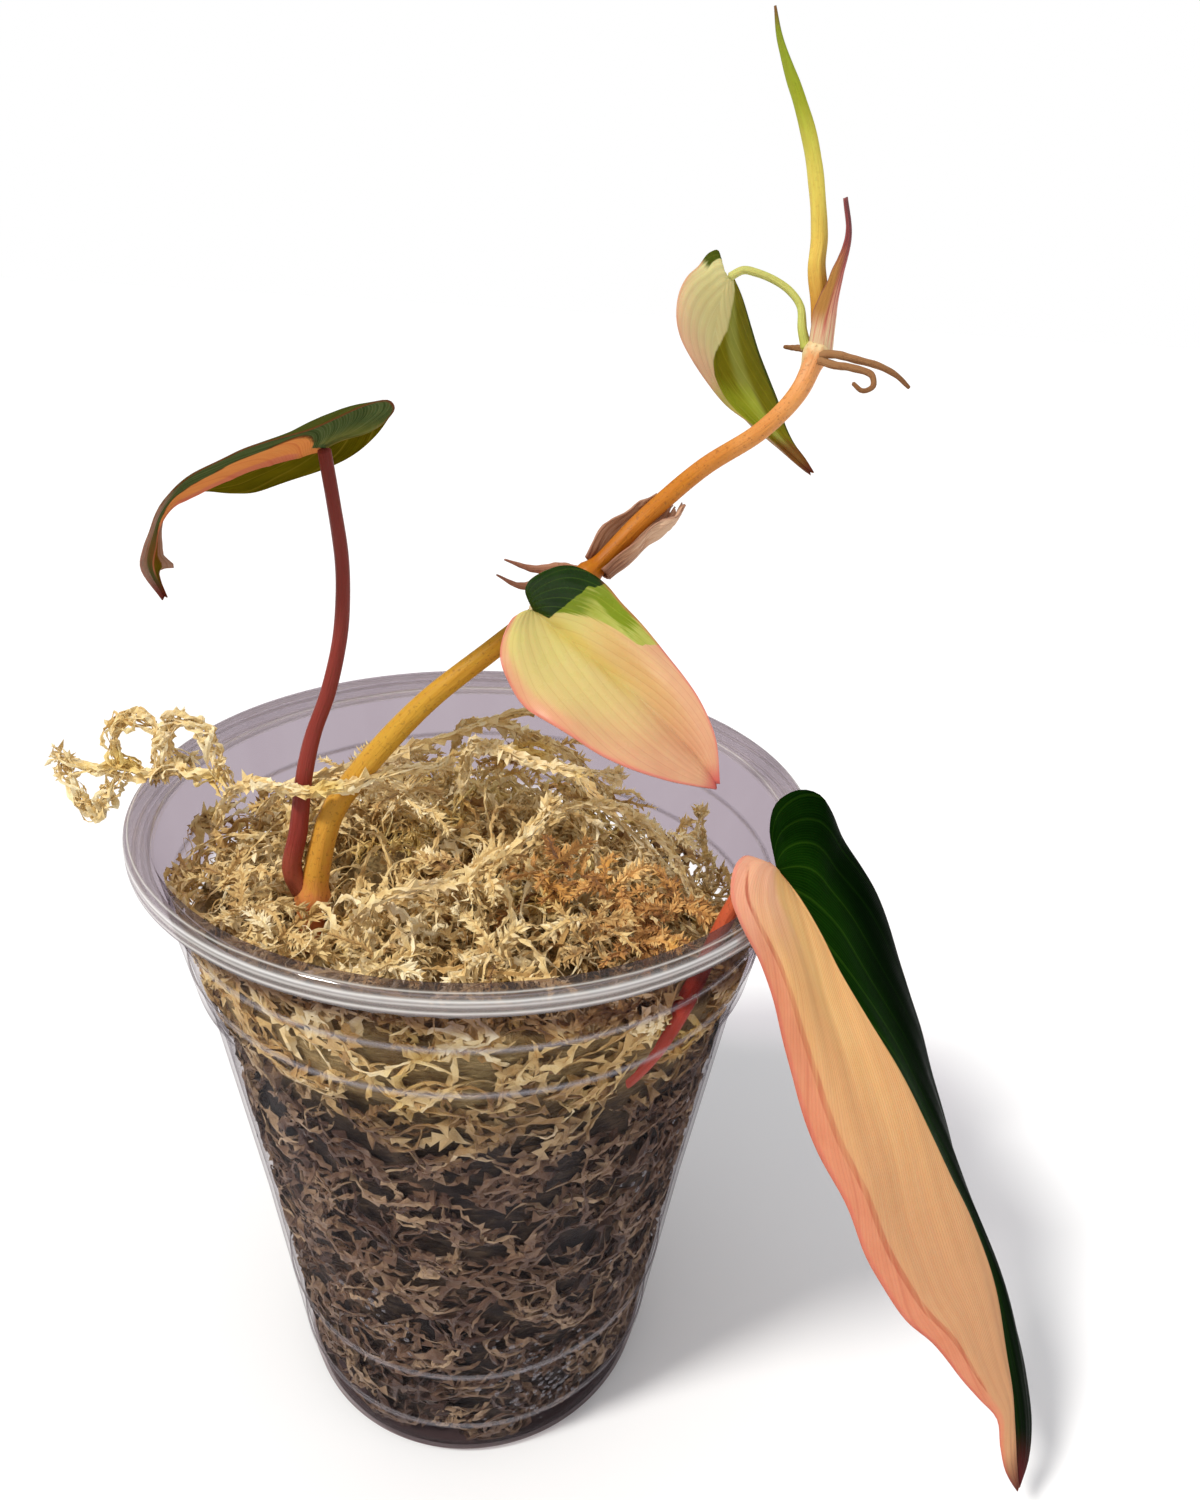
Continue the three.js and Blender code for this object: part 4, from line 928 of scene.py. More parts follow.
def cup_surface():
    """Profile turned round the axis: from underneath up the outside, round the bead and down the inside.

    Ring lines are shallow dips of the outside; ribs under the bead stand out in short rows round it."""
    heights = np.sort(np.concatenate([
        WALL_PROFILE[:, 0], *[ring + RING_LINE_POINTS for ring in RING_LINES], np.linspace(12, 80, 10),
    ]))
    dips = sum(np.exp(-(((heights - ring) / RING_LINE_SPREAD) ** 2)) for ring in RING_LINES)
    outside = np.stack([wall_radius(heights) - RING_DEPTH * dips, heights], axis=1)
    bead = np.concatenate([
        arc((RIM_RADIUS - inward, CUP_HEIGHT - down), *shape) for inward, down, *shape in BEAD_ARCS
    ])
    inside = np.stack([wall_radius(INSIDE_HEIGHTS) - WALL, INSIDE_HEIGHTS], axis=1)
    profile = np.concatenate([UNDERSIDE, outside[1:], bead, inside, FLOOR_INSIDE])
    turn = -np.arange(CUP_SIDES) * 2 * math.pi / CUP_SIDES
    ribs = np.maximum(0, np.sin(RIBS * turn)) * (np.cos(RIB_ROWS * (turn + RIB_ROW_TURN)) > 0.8)
    radius, height = profile[1:-1].T
    off_ribs = height - (CUP_HEIGHT - BEAD_HEIGHT + RIB_LIFT)
    under_bead = np.exp(-((off_ribs / RIB_HALF_HEIGHT) ** 2)) * (radius > RIBS_FROM_RADIUS)
    reach = np.minimum(radius[:, None] + RIB_DEPTH * under_bead[:, None] * ribs, RIM_RADIUS)
    return closed_rings(on_turn(reach, turn, height[:, None]), profile[0, 1], profile[-1, 1])


def droplet_surface(rng):
    """Domes of water on the inside of the wall: seeded places in clusters, each a low cap on a round foot.

    A cluster has its turn in degrees, its height, the spread of both and its number of drops."""
    turn = np.concatenate([rng.normal(at, spread, number) for at, _, spread, _, number in DROPLET_CLUSTERS])
    height = np.concatenate([rng.normal(at, spread, number) for _, at, _, spread, number in DROPLET_CLUSTERS])
    turn = np.radians(turn)
    height = np.clip(height, *DROPLET_HEIGHTS)
    size = rng.uniform(*DROPLET_SIZES, len(turn)) * rng.uniform(*DROPLET_VARIATION, len(turn))
    out = on_turn(1, turn, 0)
    round_way = np.stack([-np.sin(turn), np.cos(turn), np.zeros(len(turn))], axis=-1)
    wall = on_turn(wall_radius(height) - WALL, turn, height)
    depth = np.stack([wall - out * (size * share)[:, None] for share in DROPLET_DEPTHS], axis=1)
    radii = size[:, None] * DROPLET_RADII
    ups = np.repeat(round_way[:, None], 3, axis=1)
    return tubes(depth, radii, ups, 8, caps=0.2)


# Moss: its lie

CORE_SIDES = 120
CORE_DEPTH = 5.4
CORE_EDGE_DEPTH = 5.5
CORE_WALL_GAP = 1.5
CORE_TOP_GAP = 1.7
CORE_WAVE = 0.22
CORE_LUMP = 0.5
CORE_WALL_ROWS = 44
CORE_TOP_ROWS = 26


def moss_height(x, y):
    """Height of the bed: a crown that falls smoothly to an edge, which is high in front and at the left.

    Two bell-shaped hollows are taken out of it, at the stem and behind the middle."""
    turn = np.arctan2(y, x)
    edge = MOSS_EDGE - MOSS_TILT_FRONT * np.sin(turn) - MOSS_TILT_LEFT * np.cos(turn)
    share = smoothstep(np.hypot(x, y), MOSS_FLAT, MOSS_WALL_REACH)
    hollow = sum(
        depth * np.exp(-((x - at_x) ** 2 + (y - at_y) ** 2) / spread)
        for at_x, at_y, depth, spread in (STEM_HOLLOW, BACK_HOLLOW)
    )
    return MOSS_CROWN * (1 - share) + edge * share - hollow


def moss_edge(turn):
    """Height of the bed where it meets the wall."""
    return moss_height(MOSS_WALL_REACH * np.cos(turn), MOSS_WALL_REACH * np.sin(turn))


def stem_dip(x, y, behind, size):
    """Bell-shaped dip round the stem, as deep as it is wide, centred a little behind the stem's hollow."""
    far = np.hypot(x - STEM_HOLLOW[0], y - STEM_HOLLOW[1] + behind)
    return size * np.exp(-((far / size) ** 2))


def moss_core_surface(rng):
    """Rings up the inside of the wall and in over the top, lumpy by seeded sines, below the strands."""
    turn = -np.arange(CORE_SIDES) * 2 * math.pi / CORE_SIDES
    edge = moss_edge(turn) - CORE_EDGE_DEPTH
    wall_shares = np.linspace(0, 1, CORE_WALL_ROWS)[:, None]
    foot = FLOOR + 0.8
    height = foot + (edge - foot) * wall_shares
    waves = sum(
        rng.uniform(0.3, 1)
        * np.sin(bumps * turn + rng.uniform(2, 14) * 2 * math.pi * wall_shares + rng.uniform(0, 6))
        for bumps in rng.integers(3, 24, 12)
    )
    reach = inner_radius(height) - CORE_WALL_GAP - CORE_WAVE * np.abs(waves) - 1.0 * (wall_shares < 0.01)
    wall = on_turn(reach, turn, height)
    top_shares = np.linspace(0.96, 0.04, CORE_TOP_ROWS)[:, None]
    reach = (inner_radius(edge) - CORE_TOP_GAP) * top_shares
    x, y = reach * np.cos(turn), reach * np.sin(turn)
    lumps = sum(
        np.sin(rng.uniform(0.15, 0.6) * x + rng.uniform(0.15, 0.6) * y + rng.uniform(0, 6)) for _ in range(7)
    )
    top = np.stack([x, y, moss_height(x, y) - CORE_DEPTH + CORE_LUMP * lumps], axis=-1)
    return closed_rings(np.concatenate([wall, top]), foot, moss_height(0.0, 0.0) - CORE_DEPTH)


# Moss: how one strand is made

LANCE_FACES = np.array([[0, 3, 1], [0, 2, 3], [4, 1, 3], [4, 3, 2], [0, 1, 2], [4, 2, 1]])
LANCE_PALE = [0.0, 0.6, 0.6, 0.8, 1.0]
LANCE_WIDEST = 0.42
LANCE_RIDGE = 0.6
LANCE_LENGTHS = (0.45, 1.4)
LANCE_WIDTHS = (0.7, 1.4)
LANCE_CURL = (0.05, 0.3)
LEAFLET_OPENING = 0.75
OPENING_VARIATION = (0.35, 1.6)
BUNCHES = 4
BUNCHING = 0.035
TOOTH = 0.775
FULL_FRAY = 0.525
KEEL = 0.3
BACK = 0.14
BAND_PALE = [0.9, 0.35, 0.9, 0.0]


def seeded_beat(rng, share, slow, fast, shape):
    """Angle of a sine along a strand: between slow and fast turns over its length, from a seeded start."""
    return 2 * math.pi * (share * rng.uniform(slow, fast, shape) + rng.random(shape))


def scattered_ups(rng, count, rows, base, spread):
    """One seeded direction near the base for each strand, the same at all its points."""
    ups = unit(np.array(base) + rng.normal(0, spread, (count, 3)))
    return np.repeat(ups[:, None], rows, axis=1)


def steady_up(line):
    """The direction in which a line spreads least, the same at all its points."""
    return np.repeat(least_spread(line)[None], len(line), axis=0)


def seeded_tints(rng, middle, spread, count, lowest=0.0):
    return np.clip(rng.normal(middle, spread, count), lowest, 1)


def leaflet_places(rng, count, rows, leaflets):
    """Where the leaflets of each strand leave it, counted in its points and crowded into loose bunches."""
    share = (np.arange(leaflets) + rng.random((count, leaflets))) / leaflets
    share = share + BUNCHING * np.sin(2 * math.pi * (BUNCHES * share + rng.random((count, 1))))
    return np.clip(share, 0, 1) * (rows - 1) * 0.999


def lance_points(rng, foot, directions, leaf_length, roll, slim):
    """Five points of each leaflet: foot, two corners and a ridge where it is widest, and a tip that curls.

    directions are the strand's own at the foot: ahead, sideways and upward. Leaflets lean to both sides
    in turn, with a seeded roll round the strand and a seeded opening away from it."""
    ahead, sideways, upward = directions
    each = (*foot.shape[:2], 1)
    hand = np.where(np.arange(each[1]) % 2, 1.0, -1.0)[:, None]
    lean = rng.normal(0, roll, each)
    lateral = sideways * hand * np.cos(lean) + upward * np.sin(lean)
    opening = LEAFLET_OPENING * rng.uniform(*OPENING_VARIATION, each)
    out = ahead * np.cos(opening) + lateral * np.sin(opening)
    face = unit(np.cross(lateral, ahead)) * hand
    wide = np.cross(face, out)
    length = leaf_length * rng.uniform(*LANCE_LENGTHS, each)
    half = length * slim * rng.uniform(*LANCE_WIDTHS, each)
    middle = foot + LANCE_WIDEST * length * out
    curl = rng.normal(*LANCE_CURL, each) * length
    ridge = middle + LANCE_RIDGE * half * face - 0.2 * curl * face
    corners = [foot, middle + half * wide, middle - half * wide, ridge, foot + length * out + curl * face]
    return np.stack(corners, axis=2).reshape(-1, 3)


def leafy_strands(rng, lines, ups, thickness, leaflets, leaf_length, tints, roll, slim):
    """Strands of moss: a thin tapering stem and pointed leaflets, longest half way up it."""
    count, rows = lines.shape[:2]
    share = np.linspace(0, 1, rows)
    radii = thickness[:, None] * (0.35 + 0.65 * np.sin(math.pi * np.clip(share * 0.9 + 0.05, 0, 1)) ** 0.5)
    points, faces, _ = tubes(lines, radii, ups, 3)
    per_stem = rows * 3 + 2
    at = leaflet_places(rng, count, rows, leaflets)
    index = at.astype(int)
    part = (at - index)[..., None]
    strand = np.arange(count)[:, None]
    foot = lines[strand, index] * (1 - part) + lines[strand, index + 1] * part
    directions = [way[strand, index] for way in cross_directions(lines, ups)]
    swell = (0.5 + 0.5 * np.sin(math.pi * at / (rows - 1)))[..., None]
    leaf_points = lance_points(rng, foot, directions, leaf_length * swell, roll, slim)
    start = len(points) + 5 * np.arange(count * leaflets)[:, None, None]
    leaf_tints = np.repeat(np.repeat(tints, leaflets) + rng.normal(0, 0.1, count * leaflets), 5)
    fields = {
        "tint": np.concatenate([np.repeat(tints - 0.1, per_stem), leaf_tints]),
        "pale": np.concatenate([np.zeros(count * per_stem), np.tile(LANCE_PALE, count * leaflets)]),
    }
    return np.concatenate([points, leaf_points]), faces + [(start + LANCE_FACES).reshape(-1, 3)], fields


def scaly_strands(rng, lines, ups, width, tints, twist=1.5, narrow=0.4, fray=FULL_FRAY, lean=0.65):
    """Strands of moss as folded bands with torn edges: a ring holds an edge, keel, the other edge and back.

    The edges reach out at every second ring, left and right in turn, and to narrow of that between; they lean
    forward as pointed scales. The band turns about its line by a sine and a steady part."""
    count, rows = lines.shape[:2]
    along, side, over = cross_directions(lines, ups)
    share = np.linspace(0, 1, rows)
    beat = seeded_beat(rng, share, 1, 3.5, (count, 1))
    turn = (twist * (np.sin(beat) + share * rng.normal(0, 1.2, (count, 1))))[..., None]
    across = side * np.cos(turn) + over * np.sin(turn)
    upward = over * np.cos(turn) - side * np.sin(turn)
    wide = (width[:, None] * np.sin(math.pi * (0.05 + 0.92 * share)) ** 0.7)[..., None]
    edges = []
    for hand, first in ((1, 0), (-1, 1)):
        beside = np.where(np.arange(rows) % 2 == first, 1.0, narrow)[:, None]
        tooth = beside * rng.uniform(TOOTH - fray, TOOTH + fray, (count, rows, 1))
        lift = fray / FULL_FRAY * rng.normal(0, 0.5, (count, rows, 1))
        edges.append(lines + wide * tooth * (hand * across + lean * along + lift * upward))
    keel = lines + KEEL * wide * upward
    back = lines - BACK * wide * upward
    rings = np.stack([edges[0], keel, edges[1], back], axis=2).reshape(count, -1, 3)
    ends = np.stack([lines[:, 0] - 0.1 * along[:, 0], lines[:, -1] + 0.5 * along[:, -1]], axis=1)
    tint = np.repeat(tints[:, None] + rng.normal(0, 0.1, (count, rows)), 4, axis=1)
    tint = np.concatenate([tint, tint[:, :1], tint[:, -1:]], axis=1)
    pale = np.tile(np.concatenate([np.tile(BAND_PALE, rows), [0.2, 0.9]]), count)
    points = np.concatenate([rings, ends], axis=1).reshape(-1, 3)
    return points, wrapped_faces(count, rows, 4), {"tint": tint.ravel(), "pale": pale}


def star_tips(rng, lines, ups, tints, leaflets, leaf_length):
    """Leaflets that open out round the last part of each line."""
    thin = np.full(len(lines), 0.15)
    last, last_ups = lines[:, -4:], ups[:, -4:]
    return leafy_strands(rng, last, last_ups, thin, leaflets, leaf_length, tints, roll=1.6, slim=0.2)


def pressed(surface):
    """Moss kept inside the cup: points past the inside of the wall or its floor are moved in to it."""
    points, faces, fields = surface
    limit = inner_radius(points[:, 2]) - 0.1
    squeeze = np.minimum(1, limit / np.maximum(np.hypot(points[:, 0], points[:, 1]), 1e-6))
    points = np.column_stack([points[:, :2] * squeeze[:, None], np.maximum(points[:, 2], FLOOR + 1)])
    return points, faces, fields


def trimmed(surface):
    """The strand over the rim, with its far end drawn in to the part's left side."""
    points, faces, fields = surface
    return np.column_stack([np.maximum(points[:, 0], LEFT_SIDE), points[:, 1:]]), faces, fields


# Moss: where the strands lie

# The part of the hanging leaf's stalk that runs behind the wall, by shares of its length
WALL_STALK_SHARES = (0.42, 0.85)
WALL_STALK_REACH = 41


def curling_lines(rng, starts, turns, lengths, rise, fall, bends, rows, sway=0.5):
    """Lines that leave their starts at a slope of rise and end at a slope of fall, turning by the bend.

    Slope and turn run evenly from the first value to the last, with a seeded sine of sway added to both."""
    share = np.linspace(0, 1, rows)
    beat = seeded_beat(rng, share, 0.8, 2.6, (len(starts), 1))
    slope = rise[:, None] + (fall - rise)[:, None] * share + sway * np.sin(beat)
    turn = turns[:, None] + bends[:, None] * share + 1.6 * sway * np.cos(1.3 * beat)
    way = np.stack([np.cos(slope) * np.cos(turn), np.cos(slope) * np.sin(turn), np.sin(slope)], axis=-1)
    steps = way * (lengths / (rows - 1))[:, None, None]
    return starts[:, None] + np.cumsum(steps, axis=1) - steps[:, :1]


def wandering(rng, headings, lengths, bends, rows, sway=0.5):
    """Offsets along flat lines centred on their middles; the heading turns by the bend and a sine of sway."""
    share = np.linspace(-0.5, 0.5, rows)
    beat = seeded_beat(rng, share, 0.8, 2.4, (len(headings), 1))
    turn = headings[:, None] + bends[:, None] * share + sway * np.sin(beat)
    step = (lengths / (rows - 1))[:, None]
    ahead, across = np.cumsum(np.cos(turn) * step, axis=1), np.cumsum(np.sin(turn) * step, axis=1)
    return ahead - ahead.mean(1, keepdims=True), across - across.mean(1, keepdims=True)


def spiral_places(place, total, reach, turn):
    """Even places on a disc: the radius grows with the root of a place's share of the total."""
    radius = reach * np.sqrt(place / total)
    return radius * np.cos(turn), radius * np.sin(turn)


# The bed's clumps, kept clear of the stem and of the place where the hanging leaf's stalk comes out.
# Slopes and turns are in radians.

CLUMPS_REACH = 41
STEM_CLEARING = 6.5
STALK_PLACE = (28, -31)
STALK_CLEARING = 7
CLUMP_TINT = (0.57, 0.2)
CLUMP_RISE = (-0.6, 2.3)
CLUMP_SPREAD = 1.5
CLUMP_ROOT_DEPTH = 4.6
CLUMP_LOWEST = 5
CLUMP_LENGTHS = (8, 20)
CLUMP_SLOPES = (0.4, 1.35)
LOOSE_SHARE = 0.25
LOOSE_END_SLOPES = (-3.4, -1.5)
END_SLOPES = (-1.1, -0.1)
CLUMP_WIDTHS = (0.3, 1.15)
TIPPED_SHARE = 0.3
UPWARD = (0.0, 0.0, 1.0)


def clump_strands(rng, clumps, first, total, each, rows):
    """Clumps of the bed: places on a sunflower spiral, each with its own height, tint and lie.

    The strands of a clump set out steeply close together, arch over the same way and curl under."""
    place = first + np.arange(clumps) * (total / clumps)
    turn = place * GOLDEN_TURN + rng.normal(0, 0.08, clumps)
    x, y = spiral_places(place + 0.5, total, CLUMPS_REACH, turn)
    clear = np.hypot(x - STEM_HOLLOW[0], y - STEM_HOLLOW[1] + 3) > STEM_CLEARING
    clear &= np.hypot(x - STALK_PLACE[0], y - STALK_PLACE[1]) > STALK_CLEARING
    x, y = x[clear], y[clear]
    kept = len(x)
    lie = rng.uniform(0, 2 * math.pi, kept)
    tint = rng.normal(*CLUMP_TINT, kept)
    offset = rng.normal(*CLUMP_RISE, kept)
    owner = np.repeat(np.arange(kept), each)
    count = len(owner)
    start_x = x[owner] + rng.normal(0, CLUMP_SPREAD, count)
    start_y = y[owner] + rng.normal(0, CLUMP_SPREAD, count)
    start_z = moss_height(start_x, start_y) - CLUMP_ROOT_DEPTH + offset[owner]
    starts = np.stack([start_x, start_y, start_z], axis=-1)
    lengths = rng.uniform(*CLUMP_LENGTHS, count)
    loose = rng.random(count) < LOOSE_SHARE
    rise = rng.uniform(*CLUMP_SLOPES, count)
    fall = np.where(loose, rng.uniform(*LOOSE_END_SLOPES, count), rng.uniform(*END_SLOPES, count))
    turns = lie[owner] + rng.normal(0, 0.55, count)
    lines = curling_lines(rng, starts, turns, lengths, rise, fall, rng.normal(0, 2.0, count), rows, 0.8)
    lowest = moss_height(lines[..., 0], lines[..., 1]) - CLUMP_LOWEST
    lines[..., 2] = np.maximum(lines[..., 2], lowest)
    lines[..., 2] -= stem_dip(lines[..., 0], lines[..., 1], 2, 4.5)
    ups = scattered_ups(rng, count, rows, UPWARD, 0.5)
    tints = np.clip(tint[owner] + rng.normal(0, 0.14, count), 0.02, 1)
    bands = scaly_strands(rng, lines, ups, rng.uniform(*CLUMP_WIDTHS, count), tints, narrow=0.6)
    tipped = rng.random(count) < TIPPED_SHARE
    tips = star_tips(rng, lines[tipped], ups[tipped], np.clip(tints[tipped] + 0.1, 0, 1), 8, 1.4)
    return join([bands, tips])


WISPS_REACH = 37
WISP_DEPTH = 2.2
WISP_RIPPLE = 0.7
WISP_WIDTHS = (0.25, 0.8)


def long_bed_strands(rng, count, length, lift, rows):
    """Long strands over the clumps: each an arch along a wandering line that sinks in at both ends."""
    place = np.arange(count) + 0.5
    x, y = spiral_places(place, count, WISPS_REACH, place * GOLDEN_TURN + rng.normal(0, 0.1, count))
    headings = rng.uniform(0, 2 * math.pi, count)
    dx, dy = wandering(rng, headings, rng.uniform(*length, count), rng.normal(0, 1.6, count), rows)
    x, y = x[:, None] + dx, y[:, None] + dy
    share = np.linspace(0, 1, rows)
    rise = (lift[0] + (lift[1] - lift[0]) * rng.random(count) ** 1.8)[:, None]
    ripple = WISP_RIPPLE * np.sin(seeded_beat(rng, share, 1.5, 4, (count, 1)))
    z = moss_height(x, y) - WISP_DEPTH + rise * np.sin(math.pi * share) ** 0.8 + ripple
    z = z - stem_dip(x, y, 3, 5)
    ups = scattered_ups(rng, count, rows, UPWARD, 0.4)
    tints = seeded_tints(rng, 0.68, 0.18, count, 0.05)
    lines = np.stack([x, y, z], axis=-1)
    return scaly_strands(rng, lines, ups, rng.uniform(*WISP_WIDTHS, count), tints, twist=2.2, narrow=0.55)


THREADS_REACH = 42
THREAD_DEPTH = 2
THREAD_LOWEST = 2.5
THREAD_RADII = (0.07, 0.18)


def bare_threads(rng, count, length, rows):
    """Fine bare fibres that stand out of the bed and curl."""
    place = np.arange(count) + 0.5
    x, y = spiral_places(place, count, THREADS_REACH, place * GOLDEN_TURN)
    starts = np.stack([x, y, moss_height(x, y) - THREAD_DEPTH], axis=-1)
    lines = curling_lines(
        rng, starts, rng.uniform(0, 2 * math.pi, count), rng.uniform(*length, count),
        rng.uniform(0.2, 1.3, count), rng.uniform(-3, -0.2, count), rng.normal(0, 2.0, count), rows, 0.7,
    )
    lowest = moss_height(lines[..., 0], lines[..., 1]) - THREAD_LOWEST
    lines[..., 2] = np.maximum(lines[..., 2], lowest)
    ups = scattered_ups(rng, count, rows, (0.0, 0.0, 0.0), 1)
    radii = rng.uniform(*THREAD_RADII, count)[:, None] * np.linspace(1, 0.5, rows)
    points, faces, _ = tubes(lines, radii, ups, 3)
    tints = np.repeat(seeded_tints(rng, 0.7, 0.2, count), rows * 3 + 2)
    return points, faces, {"tint": tints, "pale": np.full(len(points), 0.4)}


def distance_to_wall_stalk(turn, height):
    """Distance on the unrolled wall from each point to the leaf stalk that runs behind the plastic."""
    stalk = line_points(HANGING_LEAF["stalk"], np.linspace(*WALL_STALK_SHARES, 24))
    stalk_turn = np.arctan2(stalk[:, 1], stalk[:, 0])
    off_turn = (turn[..., None] - stalk_turn + math.pi) % (2 * math.pi) - math.pi
    return np.hypot(off_turn * WALL_STALK_REACH, height[..., None] - stalk[:, 2]).min(-1)


LOWEST_LOCK = 2
LOCK_LENGTHS = (8, 24)
LOCK_TINT = (0.5, 0.2)
LOCK_WEAVE = 0.45
BEHIND_STALK = 2.8
BESIDE_STALK = 2.3
PALE_BAND = (80, 94)


def wall_strands(rng, locks, each, rows, depth, width):
    """Locks of bands pressed to the inside of the wall: mostly level waves in the sheet of turn and height.

    Where the buried stalk runs along the wall they pass behind it."""
    lock = np.arange(locks)
    owner = np.repeat(lock, each)
    count = len(owner)
    turn = (lock * GOLDEN_TURN)[owner]
    span = moss_edge(turn) + 2 - LOWEST_LOCK
    height = LOWEST_LOCK + span * (((lock + 0.5) / locks) ** 0.95)[owner] + rng.normal(0, 1.3, count)
    heading = (rng.normal(0, 0.6, locks) + math.pi * (rng.random(locks) < 0.5))[owner]
    heading = heading + rng.normal(0, 0.25, count)
    bend = rng.normal(0, 1.2, locks)[owner] + rng.normal(0, 0.5, count)
    lengths = rng.uniform(*LOCK_LENGTHS, count)
    along_wall, rise = wandering(rng, heading, lengths, bend, rows, 0.8)
    turn = turn[:, None] + (along_wall + rng.normal(0, 1.5, (count, 1))) / wall_radius(height)[:, None]
    z = np.clip(height[:, None] + rise, 2.2, moss_edge(turn) + 2.5)
    share = np.linspace(0, 1, rows)
    weave = LOCK_WEAVE * np.sin(seeded_beat(rng, share, 0.8, 2.2, (count, 1)))
    sunk = rng.uniform(*depth, (count, 1)) + weave + 1.0 * np.cos(math.pi * share) ** 4
    off = distance_to_wall_stalk(turn, z)
    sunk = np.maximum(sunk, 0.1) + BEHIND_STALK * np.exp(-((off / BESIDE_STALK) ** 2))
    lines = on_turn(inner_radius(z) - sunk, turn, z)
    ups = on_turn(1, turn, 0)
    tints = rng.normal(*LOCK_TINT, locks)[owner] + rng.normal(0, 0.14, count)
    # Painted shade: strands that lie deeper in, behind the others and behind the stalk, get a darker tint
    tints = tints - 0.22 * np.clip(sunk.mean(1) - 0.5, 0, 2) + 0.12 * smoothstep(height, *PALE_BAND)
    return scaly_strands(rng, lines, ups, rng.uniform(*width, count), np.clip(tints, 0.0, 1), twist=0.8)


TUFT_ROWS = 8
TUFT_ARM_RADII = (0.2, 0.34)


def tufts(rng, centres, arms, length, leaflets, leaf_length):
    """Fern-like tufts: stiff arms that leave a centre outwards and droop, with leaflets in one plane."""
    centres = np.repeat(np.asarray(centres, float), arms, axis=0)
    count, rows = len(centres), TUFT_ROWS
    starts = centres + rng.normal(0, 1.0, centres.shape)
    turns = np.arange(count) * GOLDEN_TURN + rng.normal(0, 0.3, count)
    lengths = rng.uniform(*length, count)
    rise, fall = rng.uniform(0.2, 1.0, count), rng.uniform(-1.0, 0.1, count)
    lines = curling_lines(rng, starts, turns, lengths, rise, fall, rng.normal(0, 0.5, count), rows, 0.15)
    ups = scattered_ups(rng, count, rows, (0.0, -0.4, 1.0), 0.35)
    tints = seeded_tints(rng, 0.6, 0.2, count, 0.05)
    thickness = rng.uniform(*TUFT_ARM_RADII, count)
    return leafy_strands(rng, lines, ups, thickness, leaflets, leaf_length, tints, roll=0.25, slim=0.17)


def named_strands(
    rng, routes, twins, rows, width, tint, sway, narrow=0.4, tips=12, fray=FULL_FRAY, lean=0.65,
):
    """Ragged cords of moss: several bands wander together along each of the given routes."""
    shares = np.linspace(0, 1, rows)
    lines = np.repeat(np.stack([line_points(route, shares) for route in routes]), twins, axis=0)
    count = len(lines)
    beat = seeded_beat(rng, shares[None, :, None], 1, 4, (count, 1, 3))
    lines = lines + sway * np.sin(beat) * rng.uniform(0.3, 1, (count, 1, 3))
    ups = np.stack([steady_up(line) for line in lines])
    tints = seeded_tints(rng, tint, 0.14, count)
    widths = width * rng.uniform(0.35, 1.2, count)
    bands = scaly_strands(rng, lines, ups, widths, tints, 2.5, narrow, fray, lean)
    return join([bands, star_tips(rng, lines, ups, tints, tips, 1.6)])


# Stems, stalks and roots

SWELLING_REACH = 1.3


def stalk_surface(points, radii, sides=18, rows=90, squeeze=1.0, ribs=0.02, swellings=(), caps=0.6):
    """One tube along a curve; ribs are shallow lengthwise waves, and swellings widen it by bell curves."""
    shares = np.linspace(0, 1, rows)
    line = line_points(points, shares)
    radius = spread_values(radii, shares)
    for centre, extra in swellings:
        far = np.linalg.norm(line - np.array(centre, float), axis=1)
        radius = radius + extra * np.exp(-((far / SWELLING_REACH) ** 2))
    turn = np.arange(sides) * 2 * math.pi / sides
    relief = ribs * np.sin(5 * turn + 9 * shares[:, None])
    relief = relief + 0.5 * ribs * np.sin(2 * turn + 40 * shares[:, None])
    return tubes(line[None], radius[None], steady_up(line)[None], sides, squeeze, relief[None], caps)


def several_stalks(lines, radii, rows, **shape):
    return join([stalk_surface(line, radii, 10, rows, **shape) for line in lines])


# Leaf blades

FAN = 1.8
EDGE_EASE = 1.25
WAVES = 4
RIB_END = 0.985
BLADE_HALF = 0.16
GROOVE_HALF = 0.55
CURL_START = 0.74
VEIN_GROOVE, VEIN_RIDGE = 0.05, 0.1
RIB_GROOVE, RIB_RIDGE = 0.1, 0.55
PUFFED_UP, HOLLOWED = 0.12, 0.08


def blade_lift(leaf, u, v, width):
    """Height over the blade's plane: an arch, waves to the margins, a curl at the near one, and lumps."""
    out = np.abs(v)
    along = np.sin(math.pi * u)
    curled = np.where(v < 0, np.clip((out - CURL_START) / (1 - CURL_START), 0, 1) ** 1.5, 0)
    swell = np.sin(9 * u + 2.5 * v) * np.sin(5 * v - 4 * u + 1) * (1 - out**4) * along
    lift = leaf["arch"] * width * np.sin(math.pi * out)
    lift = lift + leaf["wave"] * out**2 * along * np.sin(2 * math.pi * WAVES * u)
    lift = lift - leaf["curl"] * curled * along**0.5
    return lift + leaf["lumps"] * swell


